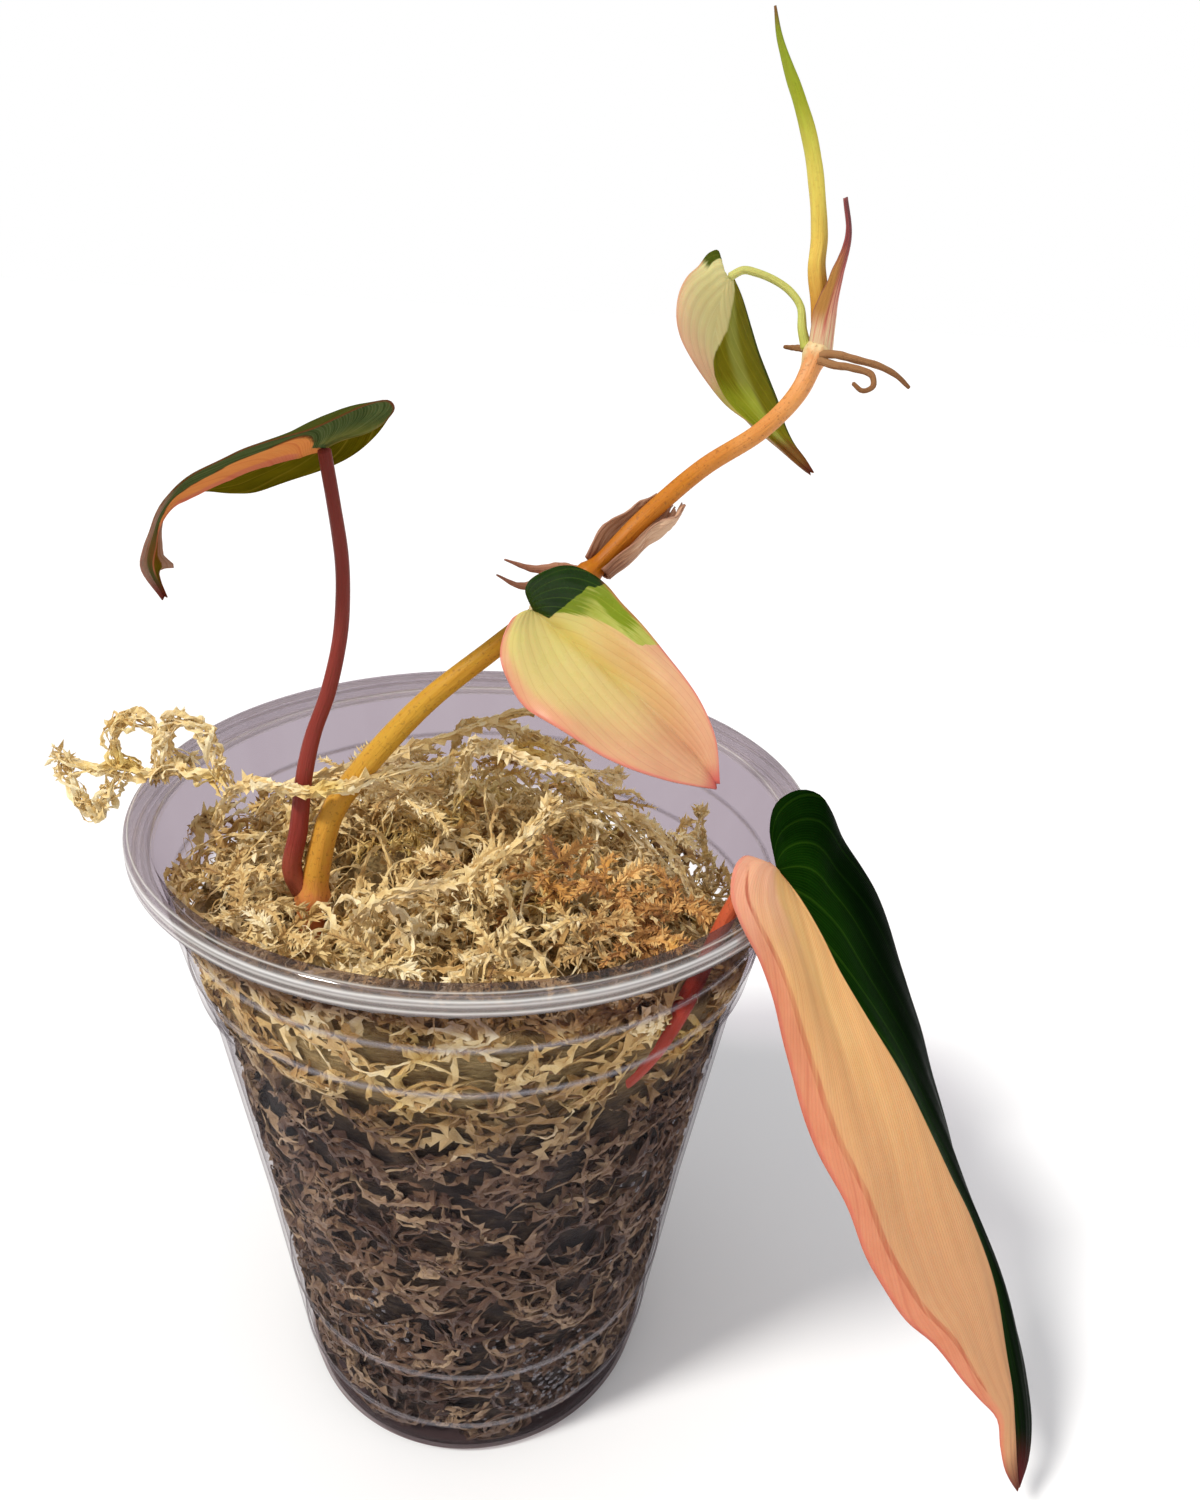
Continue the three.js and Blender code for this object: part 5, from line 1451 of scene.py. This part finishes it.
def face_distances(leaf, u, out, width, flow):
    """Distance of both faces from the middle: grooves above and ridges below along the veins and the rib."""
    vein_turn = np.abs((flow * VEIN_COUNT) % 1 - 0.5)
    vein = np.exp(-(((0.5 - vein_turn) / VEIN_HALF) ** 2)) * (1 - out**2)
    pucker = np.cos(math.pi * (0.5 - vein_turn) * 2 - math.pi) * 0.5 + 0.5
    rib_line = np.exp(-((out * width / GROOVE_HALF) ** 2)) * (1 - 0.7 * u)
    body = BLADE_HALF * (1 - 0.55 * out**6)
    puffed = leaf["quilt"] * pucker * (1 - out**4)
    upper = body - VEIN_GROOVE * leaf["quilt"] * vein - RIB_GROOVE * rib_line + PUFFED_UP * puffed
    lower = body + VEIN_RIDGE * leaf["quilt"] * vein + RIB_RIDGE * rib_line - HOLLOWED * puffed
    return upper, lower


def blade_surface(leaf, zones, rows=104, half_cols=28):
    """Leaf blade on a grid: u from notch to tip, v from the near margin (-1) over the midrib to the far one.

    A point lies between the rib at u^1.8 and the margin at u^1.25 of their lengths, and blade_lift raises it.
    zones gives the values of the coloured zones from u and v."""
    u = np.linspace(0, 1, rows + 1)
    v = np.linspace(-1, 1, 2 * half_cols + 1)
    rib = line_points(leaf["mid"], u**FAN * RIB_END)[:, None]
    near, far = (line_points(leaf[side], u**EDGE_EASE)[:, None] for side in ("near", "far"))
    edge = np.where(v[None, :, None] < 0, near, far)
    u, v = u[:, None], v[None, :]
    out = np.abs(v)
    width = np.linalg.norm(edge - rib, axis=-1)
    up = unit(np.array(leaf["up"]))
    lift = blade_lift(leaf, u, v, width)
    grid = rib * (1 - out[..., None]) + edge * out[..., None] + up * lift[..., None]
    flow = u - leaf["vein_slope"] * out
    upper, lower = face_distances(leaf, u, out, width, flow)
    normal = np.cross(np.gradient(grid, axis=1), np.gradient(grid, axis=0))
    facing_up = (normal @ up).mean() > 0
    points, faces = plate(grid, *((upper, lower) if facing_up else (lower, upper)))
    fields = {**zones(u, v), "along": u, "rim": (1 - out) * width}
    fields = {key: np.broadcast_to(values, width.shape).ravel() for key, values in fields.items()}
    fields["flow"] = np.stack(np.broadcast_arrays(flow, v, 0.0), axis=-1).reshape(-1, 3)
    fields = {key: np.concatenate([values, values]) for key, values in fields.items()}
    fields["under"] = np.repeat([0.0, 1.0] if facing_up else [1.0, 0.0], width.size)
    fields["over"] = 1 - fields["under"]
    return points, faces, fields


# Coloured zones of the leaves: a zone is where its value is above 0. Edges are (u, v) points of broken lines.

LEFT_SECTOR = [
    (0, 0.02), (0.25, 0.12), (0.3, 0.22), (0.4, 0.34), (0.5, 0.4), (0.6, 0.42), (0.7, 0.3), (0.8, 0.12),
    (0.88, -0.05), (1, -0.3),
]
LEFT_FAN = [(0.3, 0.1), (0.36, 0.34), (0.42, 0.24), (0.48, 0.05)]
MIDDLE_DARK = [
    (0, 0.03), (0.25, 0.08), (0.27, 0.15), (0.31, 0.33), (0.345, 0.55), (0.37, 0.7), (0.375, 0.8),
    (0.4, 0.85), (0.42, 1.1), (1, 2),
]
MIDDLE_LIME = [
    (0, 0.0), (0.28, 0.2), (0.33, 0.3), (0.4, 0.42), (0.45, 0.5), (0.5, 0.58), (0.6, 0.66), (0.64, 1.1),
    (1, 2),
]
UPPER_GREEN = [
    (0, 0.55), (0.05, 0.55), (0.2, 0.5), (0.3, 0.4), (0.4, 0.3), (0.5, 0.02), (0.6, -0.4), (0.7, -0.65),
    (0.8, -1.1), (1, -1.6),
]
MARGIN_FOLD = 0.84
BESIDE_RIB = 0.012


def course(u, pairs):
    """Value at u of a broken line through (u, value) pairs."""
    table = np.array(pairs)
    return np.interp(u, table[:, 0], table[:, 1])


def between(values, low, high):
    """How far a value is inside the stretch from low to high, negative outside it."""
    return np.minimum(values - low, high - values)


def left_zones(u, v):
    """Lower face: green near side with a peach sector by the midrib, olive far side with a peach fan."""
    sector = course(u, LEFT_SECTOR)
    return {
        "olive": v,
        "peach": np.minimum(v + sector, 0.06 - v),
        "border": np.where((v < 0) & (u > 0.3) & (u < 0.85), 0.02 - np.abs(-v - sector), -1.0),
        "fold": np.minimum(0.05 - np.abs(v), between(u, 0.3, 0.95)),
        "fan": np.minimum(between(v, 0.02, course(u, LEFT_FAN)), between(u, 0.28, 0.47)),
        "lobe": np.minimum(0.26 - u, -v - 0.25),
        "fade": np.minimum(u - 0.78, np.abs(v) - 0.45),
        "rust": np.minimum(between(u, 0.86, 0.92), 0.7 - np.abs(v)),
    }


def middle_zones(u, v):
    """Upper face: dark green far lobe, lime past it, gold by the midrib and peach to the tip."""
    lime = course(u, MIDDLE_LIME)
    by_margin = np.minimum(v - 0.7, between(u, 0.38, 0.55))
    return {
        "blush": (u - 0.6 + 0.45 * np.abs(v) ** 3) * 0.8,
        "meadow": 0.42 - np.hypot(u - 0.3, 0.55 * (v + 0.3)),
        "margin_glow": np.minimum(-v - 0.84, 0.6 - u),
        "gold": np.minimum(0.12 - np.abs(v - 0.03), between(u, 0.25, 0.66)),
        # Golden-brown band on the far side of the midrib: painted shade where that side falls away from the
        # light
        "brown": np.minimum(between(v, 0.1, 0.5), between(u, 0.5, 0.8)),
        "lime": v - lime,
        "fresh": np.maximum(by_margin, np.minimum(v - lime, between(u, 0.2, 0.4))),
        "green": v - course(u, MIDDLE_DARK),
        "edge": np.minimum(np.abs(v) - 0.965, u + (v < 0) - 0.42),
    }


def upper_zones(u, v):
    """Upper face: cream and pink near side with a dark lobe, olive and pale green bands on the far side."""
    side = course(u, UPPER_GREEN)
    return {
        "blush": np.minimum(0.35 - v, u - 0.42 - 0.35 * (v + 0.6)),
        "green": v - side,
        "band": np.minimum(between(v, 0.27, 0.53), v - side),
        "bright": np.minimum(between(u, 0.64, 0.8), 0.5 - v),
        "margin": v - 0.93,
        "lobe": np.minimum(0.2 - u, -v - 0.7),
        "brown": u - 0.87,
    }


def hanging_zones(u, v):
    """Upper face: far half dark green, darkest towards its far margin as painted shade, near half peach with
    a painted highlight band and a painted shade band along a fold, and salmon past a fold near the margin.
    """
    fold = MARGIN_FOLD + 0.5 * np.maximum(0, np.abs(u - 0.5) - 0.32)
    return {
        "rosy": u - 0.55 - 0.2 * v,
        "night": np.minimum(v - 0.45 + 0.5 * (u - 0.35), u - 0.12),
        "salmon": -v - fold,
        "crease": np.minimum(0.018 - np.abs(-v - fold), between(u, 0.12, 0.85)),
        "shade": np.minimum(between(v, -0.62, -0.53), between(u, 0.33, 0.66)),
        "light": np.minimum(between(v, -0.42, -0.27), between(u, 0.22, 0.5)),
        "notch": 0.07 - np.hypot(u - 0.02, 0.3 * v),
        "green": v - BESIDE_RIB,
        "border": np.where(u > 0.45, BESIDE_RIB - np.abs(v - BESIDE_RIB), -1.0),
        "rosy_lobe": np.minimum(0.2 - u, -v - 0.45),
        "edge": -v - 0.97,
    }


# Sheaths

LOOK_AHEAD = 0.02


def sheath_surface(sheath, thickness, rows=48, cols=38):
    """Slit tube that tapers to a point: it sweeps an angle to either side of its middle, round its line."""
    v = np.linspace(-1, 1, cols + 1)[None, :]
    length = np.linalg.norm(np.diff(np.array(sheath["line"], float), axis=0), axis=1).sum()
    torn = 0.5 + 0.5 * np.cos(5 * v + 1) + 0.25 * np.sin(23 * v) + 0.15 * np.sin(51 * v + 2)
    u = np.linspace(0, 1, rows + 1)[:, None] * (1 - sheath["ragged"] / length * np.clip(torn, 0, 1.3))
    line, ahead, behind = (
        line_points(sheath["line"], np.clip(u.ravel() + step, 0, 1)).reshape(*u.shape, 3)
        for step in (0, LOOK_AHEAD, -LOOK_AHEAD)
    )
    tangent = unit(ahead - behind)
    side = unit(np.cross(tangent, unit(np.array(sheath["middle"]))))
    out = unit(np.cross(side, tangent))
    angle = np.radians(spread_values(sheath["sweep"], u)) * v
    folds = 0.5 * np.sin(17 * angle) + np.sin(3 * angle + 6 * u) + 0.8 * np.sin(11 * u + 2 * angle + 1)
    radius = spread_values(sheath["radii"], u) * (1 + sheath["crumple"] * folds)
    grid = line + out * (np.cos(angle) * radius)[..., None] + side * (np.sin(angle) * radius)[..., None]
    half = np.full(grid.shape[:2], thickness / 2)
    points, faces = plate(grid, half, half)
    rim = np.minimum((1 - np.abs(v)) * 6, (1 - u / u.max()) * 12)
    flow = np.stack(np.broadcast_arrays(u, v, 0.0), axis=-1).reshape(-1, 3)
    fields = {"along": u.ravel(), "rim": rim.ravel(), "flow": flow}
    return points, faces, {key: np.concatenate([values, values]) for key, values in fields.items()}


# Building the cup and the moss

def seeded(seed):
    return np.random.default_rng(seed)


STRAW_MOSS = dried_moss("straw_moss", STRAW_STOPS)
WALL_MOSS = dried_moss("wall_moss", STRAW_STOPS, DAMP_STOPS)
RUSSET_MOSS = dried_moss("russet_moss", RUSSET_STOPS)

make_piece("cup_shell", cup_surface(), cup_plastic(), ["cup"])
make_piece("cup_droplets", droplet_surface(seeded(41)), droplet_water())
make_piece("moss_packed", moss_core_surface(seeded(7)), packed_moss(), ["moss_bed"])

RUSSET_CENTRES = [
    [17, -23, 105], [23, -26, 103], [20, -30, 103], [13, -20, 106], [8, -21, 106], [26, -22, 103],
]
STRAW_CENTRES = [
    [-30, -22, 103], [-34, -14, 102], [-24, -30, 103], [-12, -36, 104], [2, -36, 104], [-2, -24, 109],
    [8, 10, 109], [-12, 10, 109], [-20, 6, 107], [18, 8, 103], [-30, 10, 99], [14, -30, 105], [30, 4, 98],
    [-10, -10, 112], [4, 0, 113],
]
CLUMPS = {"clumps": 55, "total": 110, "each": 8, "rows": 30}
LOCKS = {"locks": 230, "each": 4}
RIM_RAGS = {"sway": 1.4, "narrow": 0.9, "tips": 5, "fray": 0.32, "lean": 0.2}
MOSS_PIECES = [
    ("clumps_a", 11, clump_strands, STRAW_MOSS, {"first": 0, **CLUMPS}),
    ("clumps_b", 13, clump_strands, STRAW_MOSS, {"first": 1, **CLUMPS}),
    ("long_wisps", 12, long_bed_strands, STRAW_MOSS, {
        "count": 190, "length": (16, 34), "lift": (2.5, 9), "rows": 46,
    }),
    ("threads", 14, bare_threads, STRAW_MOSS, {"count": 560, "length": (5, 15), "rows": 15}),
    ("wall_locks", 21, wall_strands, WALL_MOSS, {
        "rows": 24, "depth": (0.05, 0.9), "width": (0.4, 1.2), **LOCKS,
    }),
    ("wall_under_locks", 22, wall_strands, WALL_MOSS, {
        "rows": 21, "depth": (0.5, 1.5), "width": (0.7, 1.9), **LOCKS,
    }),
    ("russet_tufts", 31, tufts, RUSSET_MOSS, {
        "centres": RUSSET_CENTRES, "arms": 9, "length": (5, 9), "leaflets": 56, "leaf_length": 1.4,
    }),
    ("straw_tufts", 32, tufts, STRAW_MOSS, {
        "centres": STRAW_CENTRES, "arms": 8, "length": (5, 10), "leaflets": 44, "leaf_length": 1.5,
    }),
    ("main_strands", 33, named_strands, STRAW_MOSS, {
        "routes": BED_STRANDS, "twins": 6, "rows": 60, "width": 1.1, "tint": 0.78, "sway": 0.8,
    }),
]
for name, seed, strands, finish, values in MOSS_PIECES:
    make_piece(f"moss_{name}", pressed(strands(seeded(seed), **values)), finish, smooth=False)
rim_strands = named_strands(seeded(34), RIM_STRANDS, twins=9, rows=64, width=0.75, tint=0.84, **RIM_RAGS)
make_piece("moss_rim_strands", trimmed(rim_strands), STRAW_MOSS, ["moss_strand_rim"], smooth=False)


# Building the stem and its roots

STEM_FINISH = stalk_finish("stem_skin", [
    (0.0, 120, 84, 48), (0.2, 176, 120, 60), (0.33, 214, 128, 82), (0.38, 214, 156, 60),
    (0.5, 206, 158, 52), (0.67, 198, 142, 36), (0.72, 180, 104, 14), (0.83, 196, 122, 34),
    (0.95, 222, 154, 88), (0.985, 224, 160, 104), (1.0, 224, 200, 150),
])
RED_STALK = stalk_finish("red_stalk_skin", [
    (0.0, 168, 92, 66), (0.12, 142, 56, 46), (1.0, 122, 50, 42),
])
HANGING_STALK = stalk_finish("inner_stalk_skin", [
    (0.0, 170, 70, 50), (0.7, 178, 62, 46), (1.0, 214, 110, 66),
])
PALE_STALK = stalk_finish("pale_stalk_skin", [
    (0.0, 190, 196, 96), (1.0, 206, 208, 122),
], speck_share=0.1)


def dry_skin(name, foot, tip, roughness=0.8):
    """Dull corky skin between two colours."""
    return stalk_finish(name, [(0.0, *foot), (1.0, *tip)], roughness, gloss=0.0)


ROOT_SKIN = dry_skin("root_skin", (164, 124, 84), (140, 98, 62))
DRY_TIP_SKIN = dry_skin("dry_tip_skin", (196, 146, 116), (158, 108, 86))
BURIED_SKIN = dry_skin("buried_root_skin", (150, 92, 58), (120, 62, 44), 0.7)

stem = stalk_surface(STEM_LINE, STEM_RADII, 24, 220, swellings=NODE_SWELLINGS)
aerial_roots = several_stalks(AERIAL_ROOTS, [0.55, 0.5, 0.42, 0.25], 50, ribs=0.08)
buried_roots = several_stalks(BURIED_ROOTS, [0.9, 0.75, 0.6, 0.4], 50, ribs=0.06)
make_piece("vine_stem_skin", stem, STEM_FINISH, ["vine_stem"])
make_piece("aerial_roots", aerial_roots, ROOT_SKIN, ["vine_stem"])
make_piece("buried_roots", buried_roots, BURIED_SKIN, ["vine_stem"])


# Building the leaves

LEAF_PIECES = [
    ("left", LEFT_LEAF, left_zones, RED_STALK, leaf_finish(
        "left_leaf_skin",
        # Ground: the leaf's own dark green, greyed to stand in for its velvet sheen, so partly painted sheen
        pale=((44, 60, 24), (84, 98, 56)),
        layers=[
            ("olive", (66, 60, 2), (100, 92, 10), (134, 118, 40), 0.02, 0.02, 1.0),
            ("lobe", (104, 110, 40), (128, 128, 70), (150, 140, 90), 0.1, 0.05, 0.7),
            ("peach", (226, 152, 84), (212, 130, 70), (200, 104, 64), 0.06, 0.015, 1.0),
            ("fan", (226, 140, 84), (206, 120, 66), (196, 100, 70), 0.1, 0.03, 0.9),
            ("fold", (196, 104, 84), (206, 124, 96), (190, 96, 80), 0.03, 0.02, 0.8),
            ("border", (76, 40, 18), (96, 52, 28), (76, 40, 18), 0.06, 0.015, 0.8),
            ("fade", (196, 156, 140), (160, 124, 108), (150, 110, 96), 0.2, 0.05, 0.75),
            ("rust", (160, 90, 40), (120, 80, 30), (110, 60, 30), 0.1, 0.05, 0.6),
        ],
        pale_vein=(120, 128, 88), rim=(112, 62, 44), tip=(104, 30, 28),
        other=(52, 56, 4), gloss=0.45, shine=0.0, other_side="over",
    )),
    ("middle", MIDDLE_LEAF, middle_zones, STEM_FINISH, leaf_finish(
        "middle_leaf_skin",
        pale=((214, 202, 122), (206, 176, 104)),
        layers=[
            ("blush", (212, 160, 128), (200, 138, 112), (184, 112, 96), 0.4, 0.3, 0.85),
            ("meadow", (200, 196, 112), (216, 200, 132), (184, 170, 92), 0.5, 0.2, 0.55),
            ("margin_glow", (220, 156, 124), (210, 140, 112), (204, 120, 100), 0.1, 0.08, 0.7),
            ("gold", (204, 180, 80), (196, 160, 70), (180, 140, 70), 0.1, 0.1, 0.6),
            # brown: painted shade on the far side of the midrib
            ("brown", (204, 160, 96), (190, 146, 80), (170, 120, 70), 0.2, 0.12, 0.5),
            ("lime", (150, 160, 56), (196, 196, 110), (130, 140, 44), 0.2, 0.02, 0.95),
            ("fresh", (104, 124, 16), (128, 144, 30), (150, 160, 50), 0.16, 0.03, 0.95),
            ("green", (10, 34, 0), (30, 60, 2), (70, 100, 16), 0.07, 0.012, 1.0),
            ("edge", (200, 84, 86), (216, 110, 104), (200, 84, 86), 0.05, 0.03, 0.5),
        ],
        pale_vein=(198, 146, 96), rim=(196, 80, 84), tip=(190, 84, 80),
        other=(216, 160, 118), gloss=0.26, shine=0.22, relief=0.15, drawn_out=0.3,
    )),
    ("upper", UPPER_LEAF, upper_zones, PALE_STALK, leaf_finish(
        "upper_leaf_skin",
        pale=((204, 202, 138), (200, 184, 120)),
        layers=[
            ("blush", (216, 164, 138), (204, 146, 124), (228, 196, 160), 0.3, 0.2, 0.7),
            ("green", (92, 88, 0), (122, 114, 4), (140, 134, 30), 0.06, 0.03, 1.0),
            ("band", (152, 154, 78), (130, 134, 44), (170, 170, 90), 0.06, 0.08, 0.85),
            ("bright", (166, 176, 40), (132, 148, 20), (190, 190, 80), 0.2, 0.05, 0.6),
            ("margin", (44, 62, 10), (60, 74, 16), (60, 74, 16), 0.03, 0.02, 0.8),
            ("lobe", (56, 70, 8), (84, 92, 24), (100, 110, 40), 0.05, 0.02, 1.0),
            ("brown", (96, 40, 26), (120, 66, 30), (96, 40, 26), 0.1, 0.04, 0.8),
        ],
        pale_vein=(240, 230, 190), rim=(196, 156, 112), tip=(84, 34, 26),
        other=(214, 184, 150), gloss=0.36, shine=0.08, relief=0.2, drawn_out=0.4,
    )),
    ("hanging", HANGING_LEAF, hanging_zones, HANGING_STALK, leaf_finish(
        "hanging_leaf_skin",
        pale=((232, 184, 122), (220, 166, 104)),
        layers=[
            # light is a painted highlight and shade a painted shadow along a fold of the near half
            ("light", (240, 204, 136), (234, 192, 116), (226, 170, 100), 0.05, 0.2, 0.5),
            ("shade", (214, 154, 96), (206, 142, 90), (206, 142, 90), 0.05, 0.2, 0.4),
            ("rosy", (200, 150, 112), (192, 140, 104), (190, 132, 100), 0.2, 0.4, 0.85),
            ("salmon", (216, 140, 108), (204, 124, 94), (190, 104, 82), 0.06, 0.05, 0.85),
            ("rosy_lobe", (234, 176, 148), (226, 160, 130), (220, 150, 120), 0.1, 0.1, 0.8),
            ("crease", (176, 76, 52), (150, 62, 44), (176, 76, 52), 0.02, 0.01, 0.75),
            ("notch", (232, 96, 50), (220, 110, 60), (220, 90, 50), 0.02, 0.04, 0.8),
            ("green", (3, 26, 0), (12, 42, 2), (46, 78, 14), 0.0, 0.006, 1.0),
            # Painted shade: the darkest green towards the far margin, over the leaf's own dark green
            ("night", (0, 6, 0), (2, 14, 1), (8, 28, 3), 0.1, 0.22, 0.95),
            ("border", (110, 100, 24), (90, 92, 20), (110, 100, 24), 0.0, 0.008, 0.8),
            ("edge", (214, 96, 96), (200, 84, 84), (214, 96, 96), 0.02, 0.015, 0.35),
        ],
        pale_vein=(218, 156, 108), rim=(170, 100, 70), tip=(88, 34, 36),
        other=(228, 168, 130), gloss=0.42, shine=0.01,
    )),
]
for label, leaf, zones, stalk_skin, leaf_skin in LEAF_PIECES:
    node = f"leaf_{label}"
    make_piece(f"{label}_blade", blade_surface(leaf, zones), leaf_skin, [node])
    stalk = stalk_surface(leaf["stalk"], leaf["stalk_radii"], 16, 90)
    make_piece(f"{label}_stalk", stalk, stalk_skin, [node])


# Building the rolled leaf and the sheaths

ROLLED_LEAF_SKIN = stalk_finish("rolled_leaf_skin", [
    (0.0, 190, 116, 46), (0.1, 204, 150, 62), (0.25, 222, 190, 88), (0.5, 220, 206, 92),
    (0.72, 160, 172, 40), (0.93, 140, 156, 40), (1.0, 130, 90, 50),
], speck_share=0.1)
PINK_SHEATH_SKIN = papery_finish("pink_sheath_skin", [
    (0.0, 224, 196, 150), (0.22, 222, 158, 126), (0.45, 190, 86, 76), (0.7, 150, 58, 56),
    (1.0, 110, 40, 42),
], rgb(140, 60, 58), stain=rgb(176, 120, 44))
PAPERY_SHEATH_SKIN = papery_finish("papery_sheath_skin", [
    (0.0, 138, 88, 58), (0.3, 190, 140, 104), (0.65, 222, 184, 150), (1.0, 196, 150, 118),
], rgb(150, 100, 74))

rolled_leaf = stalk_surface(SPEAR_LINE, SPEAR_RADII, 20, 110, ribs=0.05, caps=0.2)
pink_sheath = sheath_surface(UPPER_SHEATH, 0.3)
papery_sheath = sheath_surface(DRY_SHEATH, 0.25)
dry_tips = several_stalks(DRY_POINTS, [0.75, 0.75, 0.45, 0.12], 40, squeeze=0.5, ribs=0.1)
make_piece("rolled_leaf", rolled_leaf, ROLLED_LEAF_SKIN, ["new_leaf_spear"])
make_piece("pink_sheath", pink_sheath, PINK_SHEATH_SKIN, ["sheath_upper"])
make_piece("papery_sheath", papery_sheath, PAPERY_SHEATH_SKIN, ["sheath_middle"])
make_piece("dry_tips", dry_tips, DRY_TIP_SKIN, ["dry_points"])


# Floor, light and camera

FLOOR_HALF = 8.0
NEAREST_SEEN = 0.005


def place_in_scene(item, axes=None, place=(0, 0, 0)):
    """Links an object to the scene; axes are its own three directions in metres."""
    if axes is not None:
        turned = np.stack(axes, axis=1)
        item.matrix_world = Matrix([[*row, at] for row, at in zip(turned, place)] + [[0, 0, 0, 1]])
    bpy.context.scene.collection.objects.link(item)


def floor_finish():
    """Nearly white paper with a faint broad grain."""
    material, tree, shader = new_material("pale_floor", Roughness=0.9)
    grain = noise(tree, object_place(tree), 6.0, 3.0)
    drive(tree, shader, Base_Color=blend(tree, grain, rgb(246, 246, 247), rgb(251, 251, 252)))
    return material


def add_floor():
    signs = [(-1, -1), (1, -1), (1, 1), (-1, 1)]
    mesh = bpy.data.meshes.new("floor")
    mesh.from_pydata([(FLOOR_HALF * x, FLOOR_HALF * y, 0) for x, y in signs], [], [(0, 1, 2, 3)])
    mesh.materials.append(floor_finish())
    floor = bpy.data.objects.new("floor", mesh)
    place_in_scene(floor)


def add_sun(name, direction, strength, softness, colour):
    """Even light from far away that comes from a direction; softness is the angle it fills, in degrees."""
    light = bpy.data.lights.new(name, "SUN")
    light.energy = strength
    light.angle = math.radians(softness)
    light.color = colour
    back = unit(np.array(direction, float))
    across = unit(np.cross([0.0, 1.0, 0.0], back))
    place_in_scene(bpy.data.objects.new(name, light), (across, np.cross(back, across), back))


def add_sky():
    """Pale surroundings: white to the camera, a dimmer room to gloss, and a soft cool light for the rest."""
    world = bpy.data.worlds.new("pale_room")
    world.use_nodes = True
    tree = world.node_tree
    tree.nodes.clear()
    path = add(tree, "ShaderNodeLightPath").outputs
    seen, mirrored, lit = (
        add(tree, "ShaderNodeBackground", {"Color": (*colour, 1.0), "Strength": strength}).outputs[0]
        for colour, strength in (((1.0, 1.0, 1.0), 1.0), ((1.0, 0.99, 0.97), 0.12), ((0.99, 0.99, 1.0), 0.62))
    )
    soft = add(tree, "ShaderNodeMixShader", {0: path["Is Glossy Ray"], 1: lit, 2: mirrored})
    both = add(tree, "ShaderNodeMixShader", {0: path["Is Camera Ray"], 1: soft.outputs[0], 2: seen})
    add(tree, "ShaderNodeOutputWorld", {"Surface": both.outputs[0]})
    bpy.context.scene.world = world


def add_camera():
    """Camera at the photograph's viewing place: yaw, then pitch down, then roll."""
    cos_yaw, sin_yaw = math.cos(CAMERA_YAW), math.sin(CAMERA_YAW)
    cos_pitch, sin_pitch = math.cos(CAMERA_PITCH), math.sin(CAMERA_PITCH)
    cos_roll, sin_roll = math.cos(CAMERA_ROLL), math.sin(CAMERA_ROLL)
    forward = np.array([sin_yaw * cos_pitch, cos_yaw * cos_pitch, -sin_pitch])
    right = unit(np.cross(forward, [0, 0, 1]))
    above = np.cross(right, forward)
    data = bpy.data.cameras.new("camera")
    data.sensor_width = SENSOR
    data.lens = SENSOR * FOCAL_PIXELS / PICTURE_HEIGHT
    data.clip_start = NEAREST_SEEN
    camera = bpy.data.objects.new("camera", data)
    axes = (cos_roll * right + sin_roll * above, cos_roll * above - sin_roll * right, -forward)
    place_in_scene(camera, axes, in_metres(CAMERA_PLACE))
    bpy.context.scene.camera = camera


add_floor()
add_sun("key", (-0.6, -0.3, 0.85), 2.45, 9, (1.0, 0.975, 0.93))
add_sun("fill", (0.7, -0.6, 0.5), 0.28, 50, (0.93, 0.95, 1.0))
add_sky()
add_camera()
bpy.context.scene.view_settings.view_transform = "Standard"
